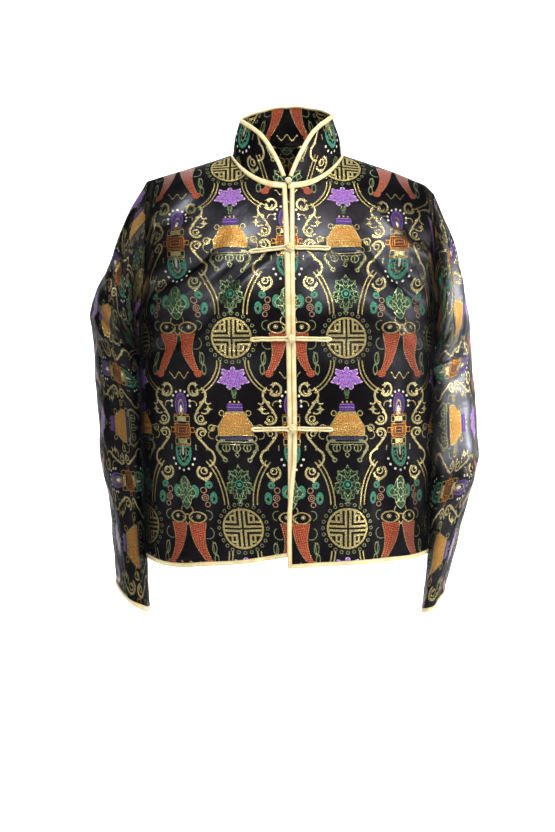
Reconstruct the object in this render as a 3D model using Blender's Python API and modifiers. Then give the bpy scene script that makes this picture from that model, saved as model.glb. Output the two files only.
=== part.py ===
"""Tang jacket: a short brocade jacket, standing open and empty in the form it keeps when worn.

Metres. +X is the wearer's left, -Y the front, +Z up. The origin is the middle of the neck base,
level with the side neck points, where a wearer carries the jacket.
"""
import math

import bmesh
import bpy
import numpy as np

NAME = "tang_jacket"

# ---------------------------------------------------------------- driving sizes
CLOTH = 0.0015            # brocade with its backing
BINDING = 0.0012          # folded bias strip, lying on the outer face
BINDING_WIDTH = 0.0075
LAY_GAP = 0.0003          # between a panel and what lies on it
SEAM_HALF = 0.0006        # half the seam opening, measured at mid cloth
ARMHOLE_GAP = 0.0015
ROUNDNESS = 2.6           # superellipse power of the body's plan
ROLL_POWER = 1.6          # superellipse power of the shoulder's roll
FRONT_ROLL = 0.238        # height over which the front reaches its full depth
BACK_ROLL = 0.090
NECK_HALF_WIDTH = 0.0820
NECK_FRONT = 0.0712
NECK_BACK = 0.0500
NECK_RIDGE_SLOPE = 0.31   # the shoulder ridge, carried on inside the neck
NECK_RIDGE_ROUND = 0.030
NAPE_RISE = 0.022
NAPE_POWER = 1.4
PIPING_RADIUS = 0.0028
PANEL_CLEAR = 0.0044      # the panels stop this far out from the middle of the piping
COLLAR_CLEAR = 0.0043     # the collar's foot above the middle of the piping
COLLAR_BINDING_GAP = 0.0006
COLLAR_BINDING_WIDTH = 0.0065
HALF_GIRTH = 0.22         # half the collar's length round the neck
COLLAR_LEAN = 0.165       # how far the collar closes in at its reference height
COLLAR_LEAN_HEIGHT = 0.060
COLLAR_TILT = 0.0030      # the collar's left side stands this much taller, its right side shorter
COLLAR_START = 1.6        # degrees from centre front
LAP_LIFT = 0.0045         # the left front rides over the right one near the hem
LAP_TOP = -0.424
LAP_FULL = -0.452
LAP_FLAT_TO = 0.014
LAP_FADES_AT = 0.055
UNDERLAP_DEPTH = 0.0032
UNDERLAP_FOOT = -0.592
UNDERLAP_TOP = -0.064
UNDERLAP_COLUMNS = (-0.0150, 0.0035, 0.0220)
KNOT_RADIUS = 0.0052
CORD_RADIUS = 0.0020
CORD_SPREAD = 0.0022      # half the distance between the two runs of a frog leg
FROG_LENGTH = 0.050

# body in plan, one row a height: half width, depth of the front, depth of the back
BODY = np.array([
    # height, half_width, front, back
    (-0.620, 0.2136, 0.1165, 0.1120),
    (-0.450, 0.2200, 0.1195, 0.1100),
    (-0.300, 0.2250, 0.1215, 0.1080),
    (-0.255, 0.2262, 0.1220, 0.1080),
    (-0.200, 0.2290, 0.1220, 0.1080),
    (-0.150, 0.2320, 0.1215, 0.1080),
    (0.040, 0.2360, 0.1200, 0.1080),
])

# the two sides differ a little, because the jacket hangs unevenly
SIDES = {
    "right": {
        "sign": -1,
        "shoulder": np.array([(0.0820, 0.000), (0.1200, -0.0125), (0.1700, -0.0275), (0.2130, -0.0410)]),
        "armhole": np.array([(-0.255, 0.2262), (-0.200, 0.2170), (-0.150, 0.2130), (-0.100, 0.2120),
                             (-0.041, 0.2130)]),
        "hem": np.array([(0.000, -0.6000), (0.055, -0.6090), (0.110, -0.6140), (0.185, -0.6165),
                         (0.215, -0.6100)]),
        # outer_x, outer_z, inner_x, inner_z, fore-and-aft half width, turn in degrees
        "sleeve": np.array([
            (0.213, -0.041, 0.2262, -0.255, 0.055, 0.0),
            (0.239, -0.083, 0.231, -0.262, 0.062, 3.0),
            (0.262, -0.145, 0.233, -0.272, 0.068, 7.0),
            (0.290, -0.205, 0.235, -0.285, 0.072, 11.0),
            (0.302, -0.242, 0.236, -0.300, 0.073, 14.0),
            (0.297, -0.285, 0.237, -0.330, 0.072, 16.0),
            (0.293, -0.370, 0.237, -0.390, 0.070, 18.0),
            (0.288, -0.466, 0.233, -0.470, 0.068, 18.0),
            (0.273, -0.551, 0.225, -0.560, 0.064, 18.0),
            (0.263, -0.658, 0.208, -0.692, 0.062, 18.0),
        ]),
    },
    "left": {
        "sign": 1,
        "shoulder": np.array([(0.0820, 0.000), (0.1200, -0.0125), (0.1650, -0.0280), (0.1950, -0.0405),
                              (0.2130, -0.0490), (0.2230, -0.0590)]),
        "armhole": np.array([(-0.255, 0.2262), (-0.200, 0.2210), (-0.150, 0.2190), (-0.100, 0.2200),
                             (-0.059, 0.2230)]),
        "hem": np.array([(0.000, -0.6165), (0.090, -0.6120), (0.148, -0.6095), (0.180, -0.6075),
                         (0.215, -0.6030)]),
        "sleeve": np.array([
            (0.223, -0.059, 0.2262, -0.255, 0.055, 0.0),
            (0.239, -0.093, 0.231, -0.262, 0.062, 3.0),
            (0.252, -0.135, 0.232, -0.272, 0.067, 6.0),
            (0.266, -0.185, 0.233, -0.285, 0.070, 10.0),
            (0.278, -0.245, 0.234, -0.305, 0.071, 13.0),
            (0.287, -0.320, 0.235, -0.340, 0.070, 15.0),
            (0.293, -0.400, 0.234, -0.405, 0.068, 17.0),
            (0.296, -0.463, 0.229, -0.480, 0.067, 18.0),
            (0.268, -0.574, 0.219, -0.590, 0.063, 18.0),
            (0.243, -0.668, 0.205, -0.694, 0.056, 16.0),
        ]),
    },
}

# where each front edge runs, one row a height
CLOSING_RIGHT = np.array([(-0.620, 0.0075), (-0.418, 0.0062), (-0.286, 0.0045), (-0.151, 0.0028),
                          (-0.050, -0.0016)])
CLOSING_LEFT = np.array([(-0.620, 0.0002), (-0.525, 0.0010), (-0.495, 0.0035), (-0.458, 0.0072),
                         (-0.418, 0.0074), (-0.286, 0.0057), (-0.151, 0.0040), (-0.100, 0.0040),
                         (-0.050, 0.0044)])

# the collar's top edge round the half loop: angle from centre front, height over the neck seam
COLLAR_EDGE = np.array([(0.0, 0.0070), (8.0, 0.0330), (18.0, 0.0530), (31.0, 0.0665), (45.0, 0.0690),
                        (64.0, 0.0640), (88.0, 0.0585), (105.0, 0.0635), (125.0, 0.0680),
                        (150.0, 0.0640), (180.0, 0.0580)])

KNOT_HEIGHTS = {"knot_0": -0.0520, "knot_1": -0.1510, "knot_2": -0.2830, "knot_3": -0.4135}

# grid counts
NECK_COLUMNS = 5
SHOULDER_COLUMNS = 6
ROWS_BELOW = 7
ROWS_ABOVE = 11
ROW_CROWDING = 1.7        # how strongly the rows crowd towards the shoulder
BLEND_FROM = -0.36        # columns leave the even spacing here and run to neck and shoulder
BLEND_MARGIN = 0.02
SLEEVE_ROWS = 13
ARMHOLE_HOLD = 1.6        # sleeve stations over which the armhole's shape fades out
COLLAR_COLUMNS = 15
COLLAR_ROWS = 3
PIPING_POINTS = 33
UNDERLAP_ROWS = 15

BROCADE = ("brocade", (0.030, 0.028, 0.034), 0.35)
BIAS = ("bias_satin", (0.840, 0.745, 0.430), 0.45)


# ---------------------------------------------------------------- curves and surface
def smooth(table, at):
    """A smooth curve through a table's first two columns."""
    xs = table[:, 0]
    ys = table[:, 1]
    slopes = np.gradient(ys, xs)
    at = np.clip(at, xs[0], xs[-1])
    low = np.clip(np.searchsorted(xs, at, side="right") - 1, 0, len(xs) - 2)
    span = xs[low + 1] - xs[low]
    s = (at - xs[low]) / span
    return ((1 + 2 * s) * (1 - s) ** 2 * ys[low] + s * (1 - s) ** 2 * span * slopes[low]
            + s * s * (3 - 2 * s) * ys[low + 1] + s * s * (s - 1) * span * slopes[low + 1])


def ease(value, start, end):
    s = np.clip((value - start) / (end - start), 0.0, 1.0)
    return s * s * (3 - 2 * s)


def side_of(x):
    return SIDES["left"] if x >= 0 else SIDES["right"]


def ridge(x, face):
    """Height of the shoulder ridge, carried on across the neck."""
    reach = abs(x)
    if reach >= NECK_HALF_WIDTH:
        shoulder = side_of(x)["shoulder"]
        over = max(0.0, reach - shoulder[-1, 0])
        return float(smooth(shoulder, reach)) - over
    inner = math.hypot(NECK_HALF_WIDTH, NECK_RIDGE_ROUND) - math.hypot(reach, NECK_RIDGE_ROUND)
    nape = NAPE_RISE * (1 - (reach / NECK_HALF_WIDTH) ** 2) ** NAPE_POWER if face == "back" else 0.0
    return NECK_RIDGE_SLOPE * inner + nape


def body_at(height):
    return [float(smooth(BODY[:, (0, column)], height)) for column in (1, 2, 3)]


def plan(x, z, face):
    """Full depth of the body at this width, before the shoulder rolls over."""
    half_width, front, back = body_at(z)
    inside = max(0.0, 1 - (abs(x) / half_width) ** ROUNDNESS)
    return (front if face == "front" else back) * inside ** (1 / ROUNDNESS)


def depth(x, z, face):
    """Distance of the cloth from the plane through both side seams."""
    roll = FRONT_ROLL if face == "front" else BACK_ROLL
    down = min(1.0, max(0.0, (ridge(x, face) - z) / roll))
    rolled = (1 - (1 - down) ** ROLL_POWER) ** (1 / ROLL_POWER)
    return plan(x, z, face) * rolled


def body_point(x, z, face):
    sign = -1 if face == "front" else 1
    return np.array([x, sign * (depth(x, z, face) + SEAM_HALF), z])


def neck_height(x, face, out=0.0):
    """Height at which the neck's oval, widened by out, meets the cloth."""
    reach = min(1.0, abs(x) / (NECK_HALF_WIDTH + out))
    oval = ((NECK_FRONT if face == "front" else NECK_BACK) + out) * math.sqrt(1 - reach * reach)
    roll = FRONT_ROLL if face == "front" else BACK_ROLL
    height = ridge(x, face)
    for _ in range(4):
        share = min(1.0, oval / plan(x, height, face))
        height = ridge(x, face) - roll * (1 - (1 - share ** ROLL_POWER) ** (1 / ROLL_POWER))
    return height


def spread(fraction, start, end, half_width, full_depth):
    """X at a fraction of the arc along the body's plan, from start to end."""
    angles = np.linspace(0.0, math.pi / 2, 181)
    xs = half_width * np.sin(angles) ** (2 / ROUNDNESS)
    ys = full_depth * np.cos(angles) ** (2 / ROUNDNESS)
    arc = np.concatenate([[0.0], np.cumsum(np.hypot(np.diff(xs), np.diff(ys)))])
    first = np.interp(start, xs, arc)
    last = np.interp(end, xs, arc)
    return float(np.interp(first + (last - first) * fraction, arc, xs))


# ---------------------------------------------------------------- panels
def row_shares(armpit):
    """Rows up a panel: even to the armpit, then closer and closer to the shoulder."""
    below = [armpit * row / ROWS_BELOW for row in range(ROWS_BELOW)]
    steps = [1 - (1 - row / ROWS_ABOVE) ** ROW_CROWDING for row in range(ROWS_ABOVE + 1)]
    return below + [armpit + (1 - armpit) * step for step in steps]


def edge_x(side, z):
    """Half width of a panel at its side seam, then at its armhole."""
    if z <= side["armhole"][0, 0]:
        return body_at(z)[0]
    return float(smooth(side["armhole"], z))


def half_panel(side, face, closing):
    """Grid [column][row] of one half, from the closing line out to the side.

    The lowest rows are one binding width apart, and so are the first columns of a front.
    """
    sign = side["sign"]
    tip_x, tip_z = side["shoulder"][-1]
    hem_side = side["hem"][-1, 1]
    shares = row_shares((side["armhole"][0, 0] - hem_side) / (tip_z - hem_side))
    columns = NECK_COLUMNS + SHOULDER_COLUMNS
    neck_x = NECK_HALF_WIDTH + PANEL_CLEAR

    def start_at(z):
        if closing is None:
            return 0.0
        return sign * float(smooth(closing, z))

    def top_of(column):
        start = start_at(KNOT_HEIGHTS["knot_0"])
        if closing is not None:
            if column == 0:
                return start
            start += BINDING_WIDTH
            column -= 1
        if column <= NECK_COLUMNS:
            first = math.asin(max(0.0, start) / neck_x)
            return neck_x * math.sin(first + (math.pi / 2 - first) * column / NECK_COLUMNS)
        return neck_x + (tip_x - neck_x) * (column - NECK_COLUMNS) / SHOULDER_COLUMNS

    grid = []
    total = columns + (0 if closing is None else 1)
    for column in range(total + 1):
        top_x = top_of(column)
        if top_x < neck_x - 1e-6:
            top_z = neck_height(sign * top_x, face, PANEL_CLEAR)
        else:
            top_z = ridge(sign * top_x, face)
        line = []
        for share in [0.0, None] + shares[1:]:
            edge_z = hem_side + (tip_z - hem_side) * (share or 0.0)
            blend = ease(edge_z, BLEND_FROM, tip_z - BLEND_MARGIN)
            z = hem_side + (top_z - hem_side) * (share or 0.0)
            x = 0.0
            for _ in range(3):
                start = start_at(z)
                if closing is not None and column == 0:
                    x = start
                else:
                    if closing is not None:
                        start += BINDING_WIDTH
                    step = column if closing is None else column - 1
                    half_width, front, back = body_at(z)
                    end = edge_x(side, min(edge_z, tip_z))
                    x = spread(step / columns, max(0.0, start), end, half_width,
                               front if face == "front" else back)
                    x += min(0.0, start) * (1 - step / columns)
                    x = (1 - blend) * x + blend * top_x
                hem_z = float(smooth(side["hem"], abs(x)))
                z = hem_z + BINDING_WIDTH if share is None else hem_z + (top_z - hem_z) * share
            point = body_point(sign * x, z, face)
            if closing is not None and sign > 0:
                point[1] -= lap_lift(x, z)
            line.append(point)
        grid.append(line)
    return np.array(grid)


def lap_lift(x, z):
    """How far the left front stands out where it laps over the right one."""
    return LAP_LIFT * float(ease(-z, -LAP_TOP, -LAP_FULL)) * float(1 - ease(x, LAP_FLAT_TO, LAP_FADES_AT))


def front_grid(name):
    side = SIDES[name]
    grid = half_panel(side, "front", CLOSING_LEFT if name == "left" else CLOSING_RIGHT)
    return grid if name == "left" else grid[::-1]


def back_grid():
    right = half_panel(SIDES["right"], "back", None)
    left = half_panel(SIDES["left"], "back", None)
    middle = (right[:1] + left[:1]) / 2
    return np.concatenate([left[:0:-1], middle, right[1:]])


def normals(grid, closed=False):
    """Outward normals of a grid whose columns run to +X on the front and whose rows run up."""
    if closed:
        around = (np.roll(grid, -1, axis=0) - np.roll(grid, 1, axis=0)) / 2
    else:
        around = np.gradient(grid, axis=0)
    along = np.gradient(grid, axis=1)
    across = np.cross(around, along)
    return across / np.linalg.norm(across, axis=2, keepdims=True)


# ---------------------------------------------------------------- objects
def material(spec):
    name, color, roughness = spec
    made = bpy.data.materials.new(name)
    made.use_nodes = True
    shader = made.node_tree.nodes["Principled BSDF"]
    shader.inputs["Base Color"].default_value = (*color, 1.0)
    shader.inputs["Roughness"].default_value = roughness
    made.diffuse_color = (*color, 1.0)
    return made


def link(name, data, spec):
    made = bpy.data.objects.new(name, data)
    data.materials.append(material(spec))
    collection.objects.link(made)
    return made


def sheet(name, grid, thickness, spec, closed=False):
    """An open surface through a grid of points, given its thickness by Solidify."""
    columns, rows = grid.shape[:2]
    work = bmesh.new()
    bmesh.ops.create_grid(work, x_segments=columns - (0 if closed else 1), y_segments=rows - 1, size=1.0)
    work.verts.ensure_lookup_table()
    width = columns + (1 if closed else 0)
    for index, vert in enumerate(work.verts):
        row, column = divmod(index, width)
        vert.co = grid[column % columns][row]
    if closed:
        bmesh.ops.remove_doubles(work, verts=work.verts[:], dist=1e-6)
    mesh = bpy.data.meshes.new(name)
    work.to_mesh(mesh)
    work.free()
    mesh.shade_smooth()
    made = link(name, mesh, spec)
    wall = made.modifiers.new("cloth", "SOLIDIFY")
    wall.thickness = thickness
    wall.offset = 0.0
    return made


def strip_on(name, grid, facing, lift, spec=BIAS):
    """A strip laid on a panel: the panel's own points, moved out."""
    return sheet(name, grid + facing * lift, BINDING, spec)


def tube(name, points, radius, spec=BIAS, resolution=2):
    curve = bpy.data.curves.new(name, "CURVE")
    curve.dimensions = "3D"
    curve.bevel_depth = radius
    curve.bevel_resolution = resolution
    curve.use_fill_caps = True
    line = curve.splines.new("POLY")
    line.points.add(len(points) - 1)
    for point, place in zip(line.points, points):
        point.co = (*place, 1.0)
    return link(name, curve, spec)


# ---------------------------------------------------------------- sleeves
def armhole_loop(front, back, sign):
    """Points round the armhole from the shoulder tip, down the back and up the front."""
    front_edge = front[-1] if sign > 0 else front[0]
    back_edge = back[0] if sign > 0 else back[-1]
    tip = (front_edge[-1] + back_edge[-1]) / 2
    armpit = (front_edge[-1 - ROWS_ABOVE] + back_edge[-1 - ROWS_ABOVE]) / 2
    down = [back_edge[-1 - step] for step in range(1, ROWS_ABOVE)]
    up = [front_edge[step - ROWS_ABOVE - 1] for step in range(1, ROWS_ABOVE)]
    return np.array([tip] + down + [armpit] + up)


def sleeve_grid(side, loop):
    """Grid [round][along] from the armhole to the cuff."""
    sign = side["sign"]
    table = side["sleeve"]
    knots = np.arange(len(table), dtype=float)
    half = len(loop) // 2
    steps = np.linalg.norm(np.roll(loop, -1, axis=0) - loop, axis=1)
    arc = np.concatenate([[0.0], np.cumsum(steps)])
    back_part = arc[:half + 1] / arc[half] * math.pi
    front_part = math.pi + (arc[half:-1] - arc[half]) / (arc[-1] - arc[half]) * math.pi
    angles = np.concatenate([back_part[:-1], front_part])
    last = len(table) - 1
    cuff_step = BINDING_WIDTH / np.linalg.norm(table[-1, :2] - table[-2, :2])
    stations = [last * row / SLEEVE_ROWS for row in range(SLEEVE_ROWS)] + [last - cuff_step, last]
    tip = np.array([sign * table[0, 0], 0.0, table[0, 1]])
    armpit = np.array([sign * table[0, 2], 0.0, table[0, 3]])
    grid = []
    for index, angle in enumerate(angles):
        line = []
        for station in stations:
            outer_x, outer_z, inner_x, inner_z, long_axis, degrees = [
                float(smooth(np.column_stack([knots, column]), station)) for column in table.T]
            outer = np.array([sign * outer_x, 0.0, outer_z])
            inner = np.array([sign * inner_x, 0.0, inner_z])
            turn = math.radians(degrees)
            width = np.linalg.norm(outer - inner) / 2
            across = (outer - inner) / (2 * width)
            short_axis = math.sqrt(width ** 2 - (long_axis * math.sin(turn)) ** 2) / math.cos(turn)
            reach = (short_axis * math.cos(angle) * math.cos(turn)
                     + long_axis * math.sin(angle) * math.sin(turn))
            back = (long_axis * math.sin(angle) * math.cos(turn)
                    - short_axis * math.cos(angle) * math.sin(turn))
            oval = (outer + inner) / 2 + across * reach + np.array([0.0, back, 0.0])
            seam = loop[index] + np.array([sign * ARMHOLE_GAP, 0.0, 0.0])
            moved = seam + ((outer + inner) - (tip + armpit)) / 2
            hold = max(0.0, 1 - station / ARMHOLE_HOLD) ** 1.5
            line.append(hold * moved + (1 - hold) * oval)
        grid.append(line)
    grid = np.array(grid)
    return grid if sign > 0 else grid[::-1]


# ---------------------------------------------------------------- collar
def neck_point(angle, out=0.0):
    """The neck seam at an angle from centre front, positive to the wearer's left."""
    face = "front" if abs(angle) <= 90 else "back"
    turn = math.radians(angle)
    oval = (NECK_FRONT if face == "front" else NECK_BACK) + out
    x = (NECK_HALF_WIDTH + out) * math.sin(turn)
    return np.array([x, -oval * math.cos(turn), neck_height(x, face, out)])


def collar_point(angle, height):
    foot = neck_point(angle)
    lean = COLLAR_LEAN * (max(0.0, height) / COLLAR_LEAN_HEIGHT) ** 1.6
    return np.array([foot[0] * (1 - lean), foot[1] * (1 - lean), foot[2] + height])


def collar_angles():
    """Stations round the collar, closer together towards the front ends."""
    shares = np.linspace(0.0, 1.0, COLLAR_COLUMNS)
    half = COLLAR_START + (180 - COLLAR_START) * (0.45 * shares + 0.55 * shares ** 2)
    return np.concatenate([half, -half[-2::-1]])


def collar_height(angle):
    height = float(smooth(COLLAR_EDGE, abs(angle)))
    return height + COLLAR_TILT * math.sin(math.radians(angle)) * height / COLLAR_LEAN_HEIGHT


def collar_grid():
    grid = []
    for angle in collar_angles():
        top = collar_height(angle)
        heights = np.linspace(COLLAR_CLEAR, top, COLLAR_ROWS + 1)
        grid.append([collar_point(angle, height) for height in heights])
    return np.array(grid)


def collar_edge_strip():
    """The collar binding: its lower line is offset square to the sloping edge."""
    per_degree = HALF_GIRTH / 180
    top_line = []
    low_line = []
    for angle in collar_angles():
        sign = 1 if angle >= 0 else -1
        size = abs(angle)
        before = max(0.0, size - 0.5)
        after = min(180.0, size + 0.5)
        climb = edge_level(sign * after) - edge_level(sign * before)
        rise = climb / (per_degree * (after - before))
        length = math.hypot(1.0, rise)
        height = collar_height(angle)
        width = min(COLLAR_BINDING_WIDTH, 0.65 * height)
        inward = min(180.0, size + width * rise / length / per_degree)
        level = edge_level(angle) - width / length - neck_point(sign * inward)[2]
        top_line.append(collar_point(angle, height))
        low_line.append(collar_point(sign * inward, level))
    return np.stack([np.array(low_line), np.array(top_line)], axis=1)


def edge_level(angle):
    return float(neck_point(angle)[2]) + collar_height(angle)


# ---------------------------------------------------------------- fastenings
def on_front(x, z, out):
    """A point over the closed fronts, out from the cloth."""
    step = 0.002
    here = body_point(x, z, "front")
    along_x = body_point(x + step, z, "front") - here
    along_z = body_point(x, z + step, "front") - here
    facing = np.cross(along_x, along_z)
    facing /= np.linalg.norm(facing)
    return here + facing * out


def frog_leg(sign, x_start, z, droop):
    """A doubled cord: out along one run, round the end and back along the other."""
    out = CLOTH / 2 + LAY_GAP + BINDING + 2 * LAY_GAP + CORD_RADIUS
    reach = (0.0, 0.2, 0.4, 0.6, 0.8, 0.95)
    bend = [(1.0, 0.75), (1.022, 0.0), (1.0, -0.75)]
    route = [(share, 1.0) for share in reach] + bend + [(share, -1.0) for share in reversed(reach)]
    points = []
    for share, level in route:
        x = x_start + sign * FROG_LENGTH * share
        height = z + level * CORD_SPREAD - droop * share
        points.append(on_front(x, height, out))
    return points


def knot(name, x, z):
    out = CLOTH / 2 + LAY_GAP + BINDING + LAY_GAP + KNOT_RADIUS
    work = bmesh.new()
    bmesh.ops.create_uvsphere(work, u_segments=10, v_segments=7, radius=KNOT_RADIUS)
    bmesh.ops.translate(work, verts=work.verts[:], vec=on_front(x, z, out))
    mesh = bpy.data.meshes.new(name)
    work.to_mesh(mesh)
    work.free()
    mesh.shade_smooth()
    return link(name, mesh, BIAS)


# ---------------------------------------------------------------- the jacket
for item in list(bpy.data.objects):
    bpy.data.objects.remove(item, do_unlink=True)

collection = bpy.data.collections.new(NAME)
bpy.context.scene.collection.children.link(collection)

lay = CLOTH / 2 + LAY_GAP + BINDING / 2
fronts = {name: front_grid(name) for name in SIDES}
back = back_grid()
for name, grid in fronts.items():
    sheet(f"front_{name}", grid, CLOTH, BROCADE)
    facing = normals(grid)
    edge = slice(0, 2) if name == "left" else slice(-2, None)
    strip_on(f"binding_front_{name}", grid[edge], facing[edge], lay)
    hem = grid[1:, :2].copy() if name == "left" else grid[:-1, :2].copy()
    hem_facing = facing[1:, :2] if name == "left" else facing[:-1, :2]
    inner = 0 if name == "left" else -1
    beside = 1 if name == "left" else -2
    step = hem[beside] - hem[inner]
    hem[inner] += step / np.linalg.norm(step, axis=1, keepdims=True) * 2 * LAY_GAP
    strip_on(f"binding_hem_{name}", hem, hem_facing, lay)
sheet("back", back, CLOTH, BROCADE)
strip_on("binding_hem_back", back[:, :2], normals(back)[:, :2], lay)

for name, side in SIDES.items():
    loop = armhole_loop(fronts[name], back, side["sign"])
    grid = sleeve_grid(side, loop)
    sheet(f"sleeve_{name}", grid[:, ::-1], CLOTH, BROCADE, closed=True)
    facing = normals(grid[:, ::-1], closed=True)
    cuff = (grid[:, ::-1] + facing * lay)[:, :2]
    sheet(f"binding_cuff_{name}", cuff, BINDING, BIAS, closed=True)

collar = collar_grid()
sheet("collar", collar, CLOTH, BROCADE)
edging = collar_edge_strip()
edging_lift = CLOTH / 2 + COLLAR_BINDING_GAP + BINDING / 2
strip_on("binding_collar", edging, normals(edging), edging_lift)
seam_angles = np.linspace(COLLAR_START, 360 - COLLAR_START, PIPING_POINTS)
seam = [neck_point(angle if angle <= 180 else angle - 360) for angle in seam_angles]
tube("piping_neck", seam, PIPING_RADIUS)

lap_heights = np.linspace(UNDERLAP_FOOT, UNDERLAP_TOP, UNDERLAP_ROWS)
lap = np.array([[on_front(x, z, -UNDERLAP_DEPTH) for z in lap_heights] for x in UNDERLAP_COLUMNS])
sheet("underlap", lap, CLOTH, BROCADE)

for name, height in KNOT_HEIGHTS.items():
    middle = float(smooth(CLOSING_RIGHT, height) + smooth(CLOSING_LEFT, height)) / 2
    knot(name, middle, height)
for index in (1, 2, 3):
    height = KNOT_HEIGHTS[f"knot_{index}"]
    middle = float(smooth(CLOSING_RIGHT, height) + smooth(CLOSING_LEFT, height)) / 2
    start = KNOT_RADIUS + CORD_RADIUS + LAY_GAP
    for name, side in SIDES.items():
        sign = side["sign"]
        droop = 0.006 if (index == 1 and name == "right") else 0.001
        tube(f"frog_{name}_{index}", frog_leg(sign, middle + sign * start, height, droop), CORD_RADIUS)
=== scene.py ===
import math

import bmesh
import bpy
import numpy as np
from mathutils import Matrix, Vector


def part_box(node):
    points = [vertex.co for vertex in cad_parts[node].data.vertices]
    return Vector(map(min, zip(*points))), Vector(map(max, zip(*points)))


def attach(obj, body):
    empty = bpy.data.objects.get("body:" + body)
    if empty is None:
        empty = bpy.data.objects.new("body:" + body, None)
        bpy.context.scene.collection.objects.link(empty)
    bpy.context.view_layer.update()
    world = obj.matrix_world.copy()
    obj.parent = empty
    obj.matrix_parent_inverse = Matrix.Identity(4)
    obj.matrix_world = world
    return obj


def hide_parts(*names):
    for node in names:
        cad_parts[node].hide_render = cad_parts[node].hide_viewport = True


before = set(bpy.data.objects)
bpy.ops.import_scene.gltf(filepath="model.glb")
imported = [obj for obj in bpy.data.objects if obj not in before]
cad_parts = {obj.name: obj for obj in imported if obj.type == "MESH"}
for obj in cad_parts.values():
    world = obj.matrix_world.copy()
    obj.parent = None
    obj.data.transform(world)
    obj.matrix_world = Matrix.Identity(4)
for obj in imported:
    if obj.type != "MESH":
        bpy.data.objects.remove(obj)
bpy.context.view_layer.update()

# ------------------------------------------------------------------ studio
# A plain studio round the jacket: a sweep of pale paper rolled down behind it and out below it,
# soft lights above, at both sides and behind, a light on the paper, and a lens at chest height.
FLOOR_DROP = 0.26
SWEEP_HALF = 4.0
SWEEP_BACK = 4.6
SWEEP_HEIGHT = 5.0
SWEEP_RADIUS = 1.2
SWEEP_STEPS = 12


def laid_out(name, work, finish):
    """The finished mesh as an object at the origin, in its finish."""
    mesh = bpy.data.meshes.new(name)
    work.to_mesh(mesh)
    work.free()
    mesh.shade_smooth()
    mesh.materials.append(finish)
    piece = bpy.data.objects.new(name, mesh)
    bpy.context.scene.collection.objects.link(piece)
    return piece


cuff_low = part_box("binding_cuff_left")[0]
floor_height = cuff_low[2] - FLOOR_DROP
profile = [(-SWEEP_HALF, floor_height)]
for turn in np.linspace(0.0, math.pi / 2, SWEEP_STEPS + 1):
    profile.append((SWEEP_BACK - SWEEP_RADIUS * (1 - math.sin(turn)),
                    floor_height + SWEEP_RADIUS * (1 - math.cos(turn))))
profile.append((SWEEP_BACK, floor_height + SWEEP_HEIGHT))
work = bmesh.new()
line = [work.verts.new((-SWEEP_HALF, y, z)) for y, z in profile]
edges = [work.edges.new(pair) for pair in zip(line, line[1:])]
swept = bmesh.ops.extrude_edge_only(work, edges=edges)
bmesh.ops.translate(work, vec=(2 * SWEEP_HALF, 0.0, 0.0),
                    verts=[item for item in swept["geom"] if isinstance(item, bmesh.types.BMVert)])
pale_paper = bpy.data.materials.new("pale_paper")
pale_paper.use_nodes = True
shader = pale_paper.node_tree.nodes["Principled BSDF"].inputs
shader["Base Color"].default_value = (0.96, 0.96, 0.96, 1.0)
shader["Roughness"].default_value = 0.9
paper = laid_out("paper_sweep", work, pale_paper)

CHEST = (0.0, 0.0, -0.28)
WARM = (1.0, 0.99, 0.97)
WHITE = (1.0, 1.0, 1.0)
for name, place, target, size, power, tint in (
        ("key_light", (0.10, -1.6, 1.30), CHEST, 0.7, 58.0, WARM),
        ("left_fill", (-2.2, -1.5, 0.3), CHEST, 1.0, 6.0, (0.94, 0.97, 1.0)),
        ("right_fill", (2.4, -0.75, 0.25), CHEST, 0.9, 62.0, WARM),
        ("lens_light", (-0.1, -2.9, 0.35), (0.0, 0.0, -0.18), 0.35, 10.0, WHITE),
        ("back_light", (0.0, 0.7, 2.3), CHEST, 2.0, 42.0, WHITE),
        ("paper_light", (0.0, 2.2, 2.6), (0.0, 4.4, 0.3), 2.6, 330.0, WHITE)):
    lamp = bpy.data.lights.new(name, "AREA")
    lamp.size = size
    lamp.energy = power
    lamp.color = tint
    stand = bpy.data.objects.new(name, lamp)
    stand.location = place
    aim = np.array(target) - np.array(place)
    stand.rotation_euler = (math.atan2(math.hypot(aim[0], aim[1]), -aim[2]), 0.0,
                            math.atan2(aim[1], aim[0]) - math.pi / 2)
    bpy.context.scene.collection.objects.link(stand)

sky = bpy.data.worlds.new("studio_air")
sky.use_nodes = True
air = sky.node_tree.nodes["Background"].inputs
air["Color"].default_value = (0.95, 0.97, 1.0, 1.0)
air["Strength"].default_value = 0.20
bpy.context.scene.world = sky
bpy.context.scene.view_settings.view_transform = "Standard"

LENS_DISTANCE = 2.3
lens = bpy.data.cameras.new("lens")
lens.sensor_width = 36.0
lens.lens = 65.03
lens.shift_y = -0.0697
camera = bpy.data.objects.new("lens", lens)
camera.location = (-0.0145, -LENS_DISTANCE, -0.311)
camera.rotation_euler = (math.pi / 2, 0.0, 0.0)
bpy.context.scene.collection.objects.link(camera)
bpy.context.scene.camera = camera

# ------------------------------------------------------------------ fronts
# Two front panels of black satin brocade with an interlining, cut straight at the closing and
# sewn to the back at shoulder and side. The left one laps over the right one near the hem.
ROUNDNESS = 2.6
ROLL_POWER = 1.6
ROLL = {"front": 0.238, "back": 0.090}
NECK_HALF_WIDTH = 0.0820
NECK_DEPTH = {"front": 0.0712, "back": 0.0500}
NECK_RIDGE_SLOPE = 0.31
NECK_RIDGE_ROUND = 0.030
NAPE_RISE = 0.022
NAPE_POWER = 1.4
PANEL_CLEAR = 0.0040
SEAM_HALF = 0.0004
CLOTH = 0.0012
BINDING_WIDTH = 0.0075


def millimetres(*rows):
    """A table written in millimetres and kept in metres."""
    return np.array(rows) / 1000


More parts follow.
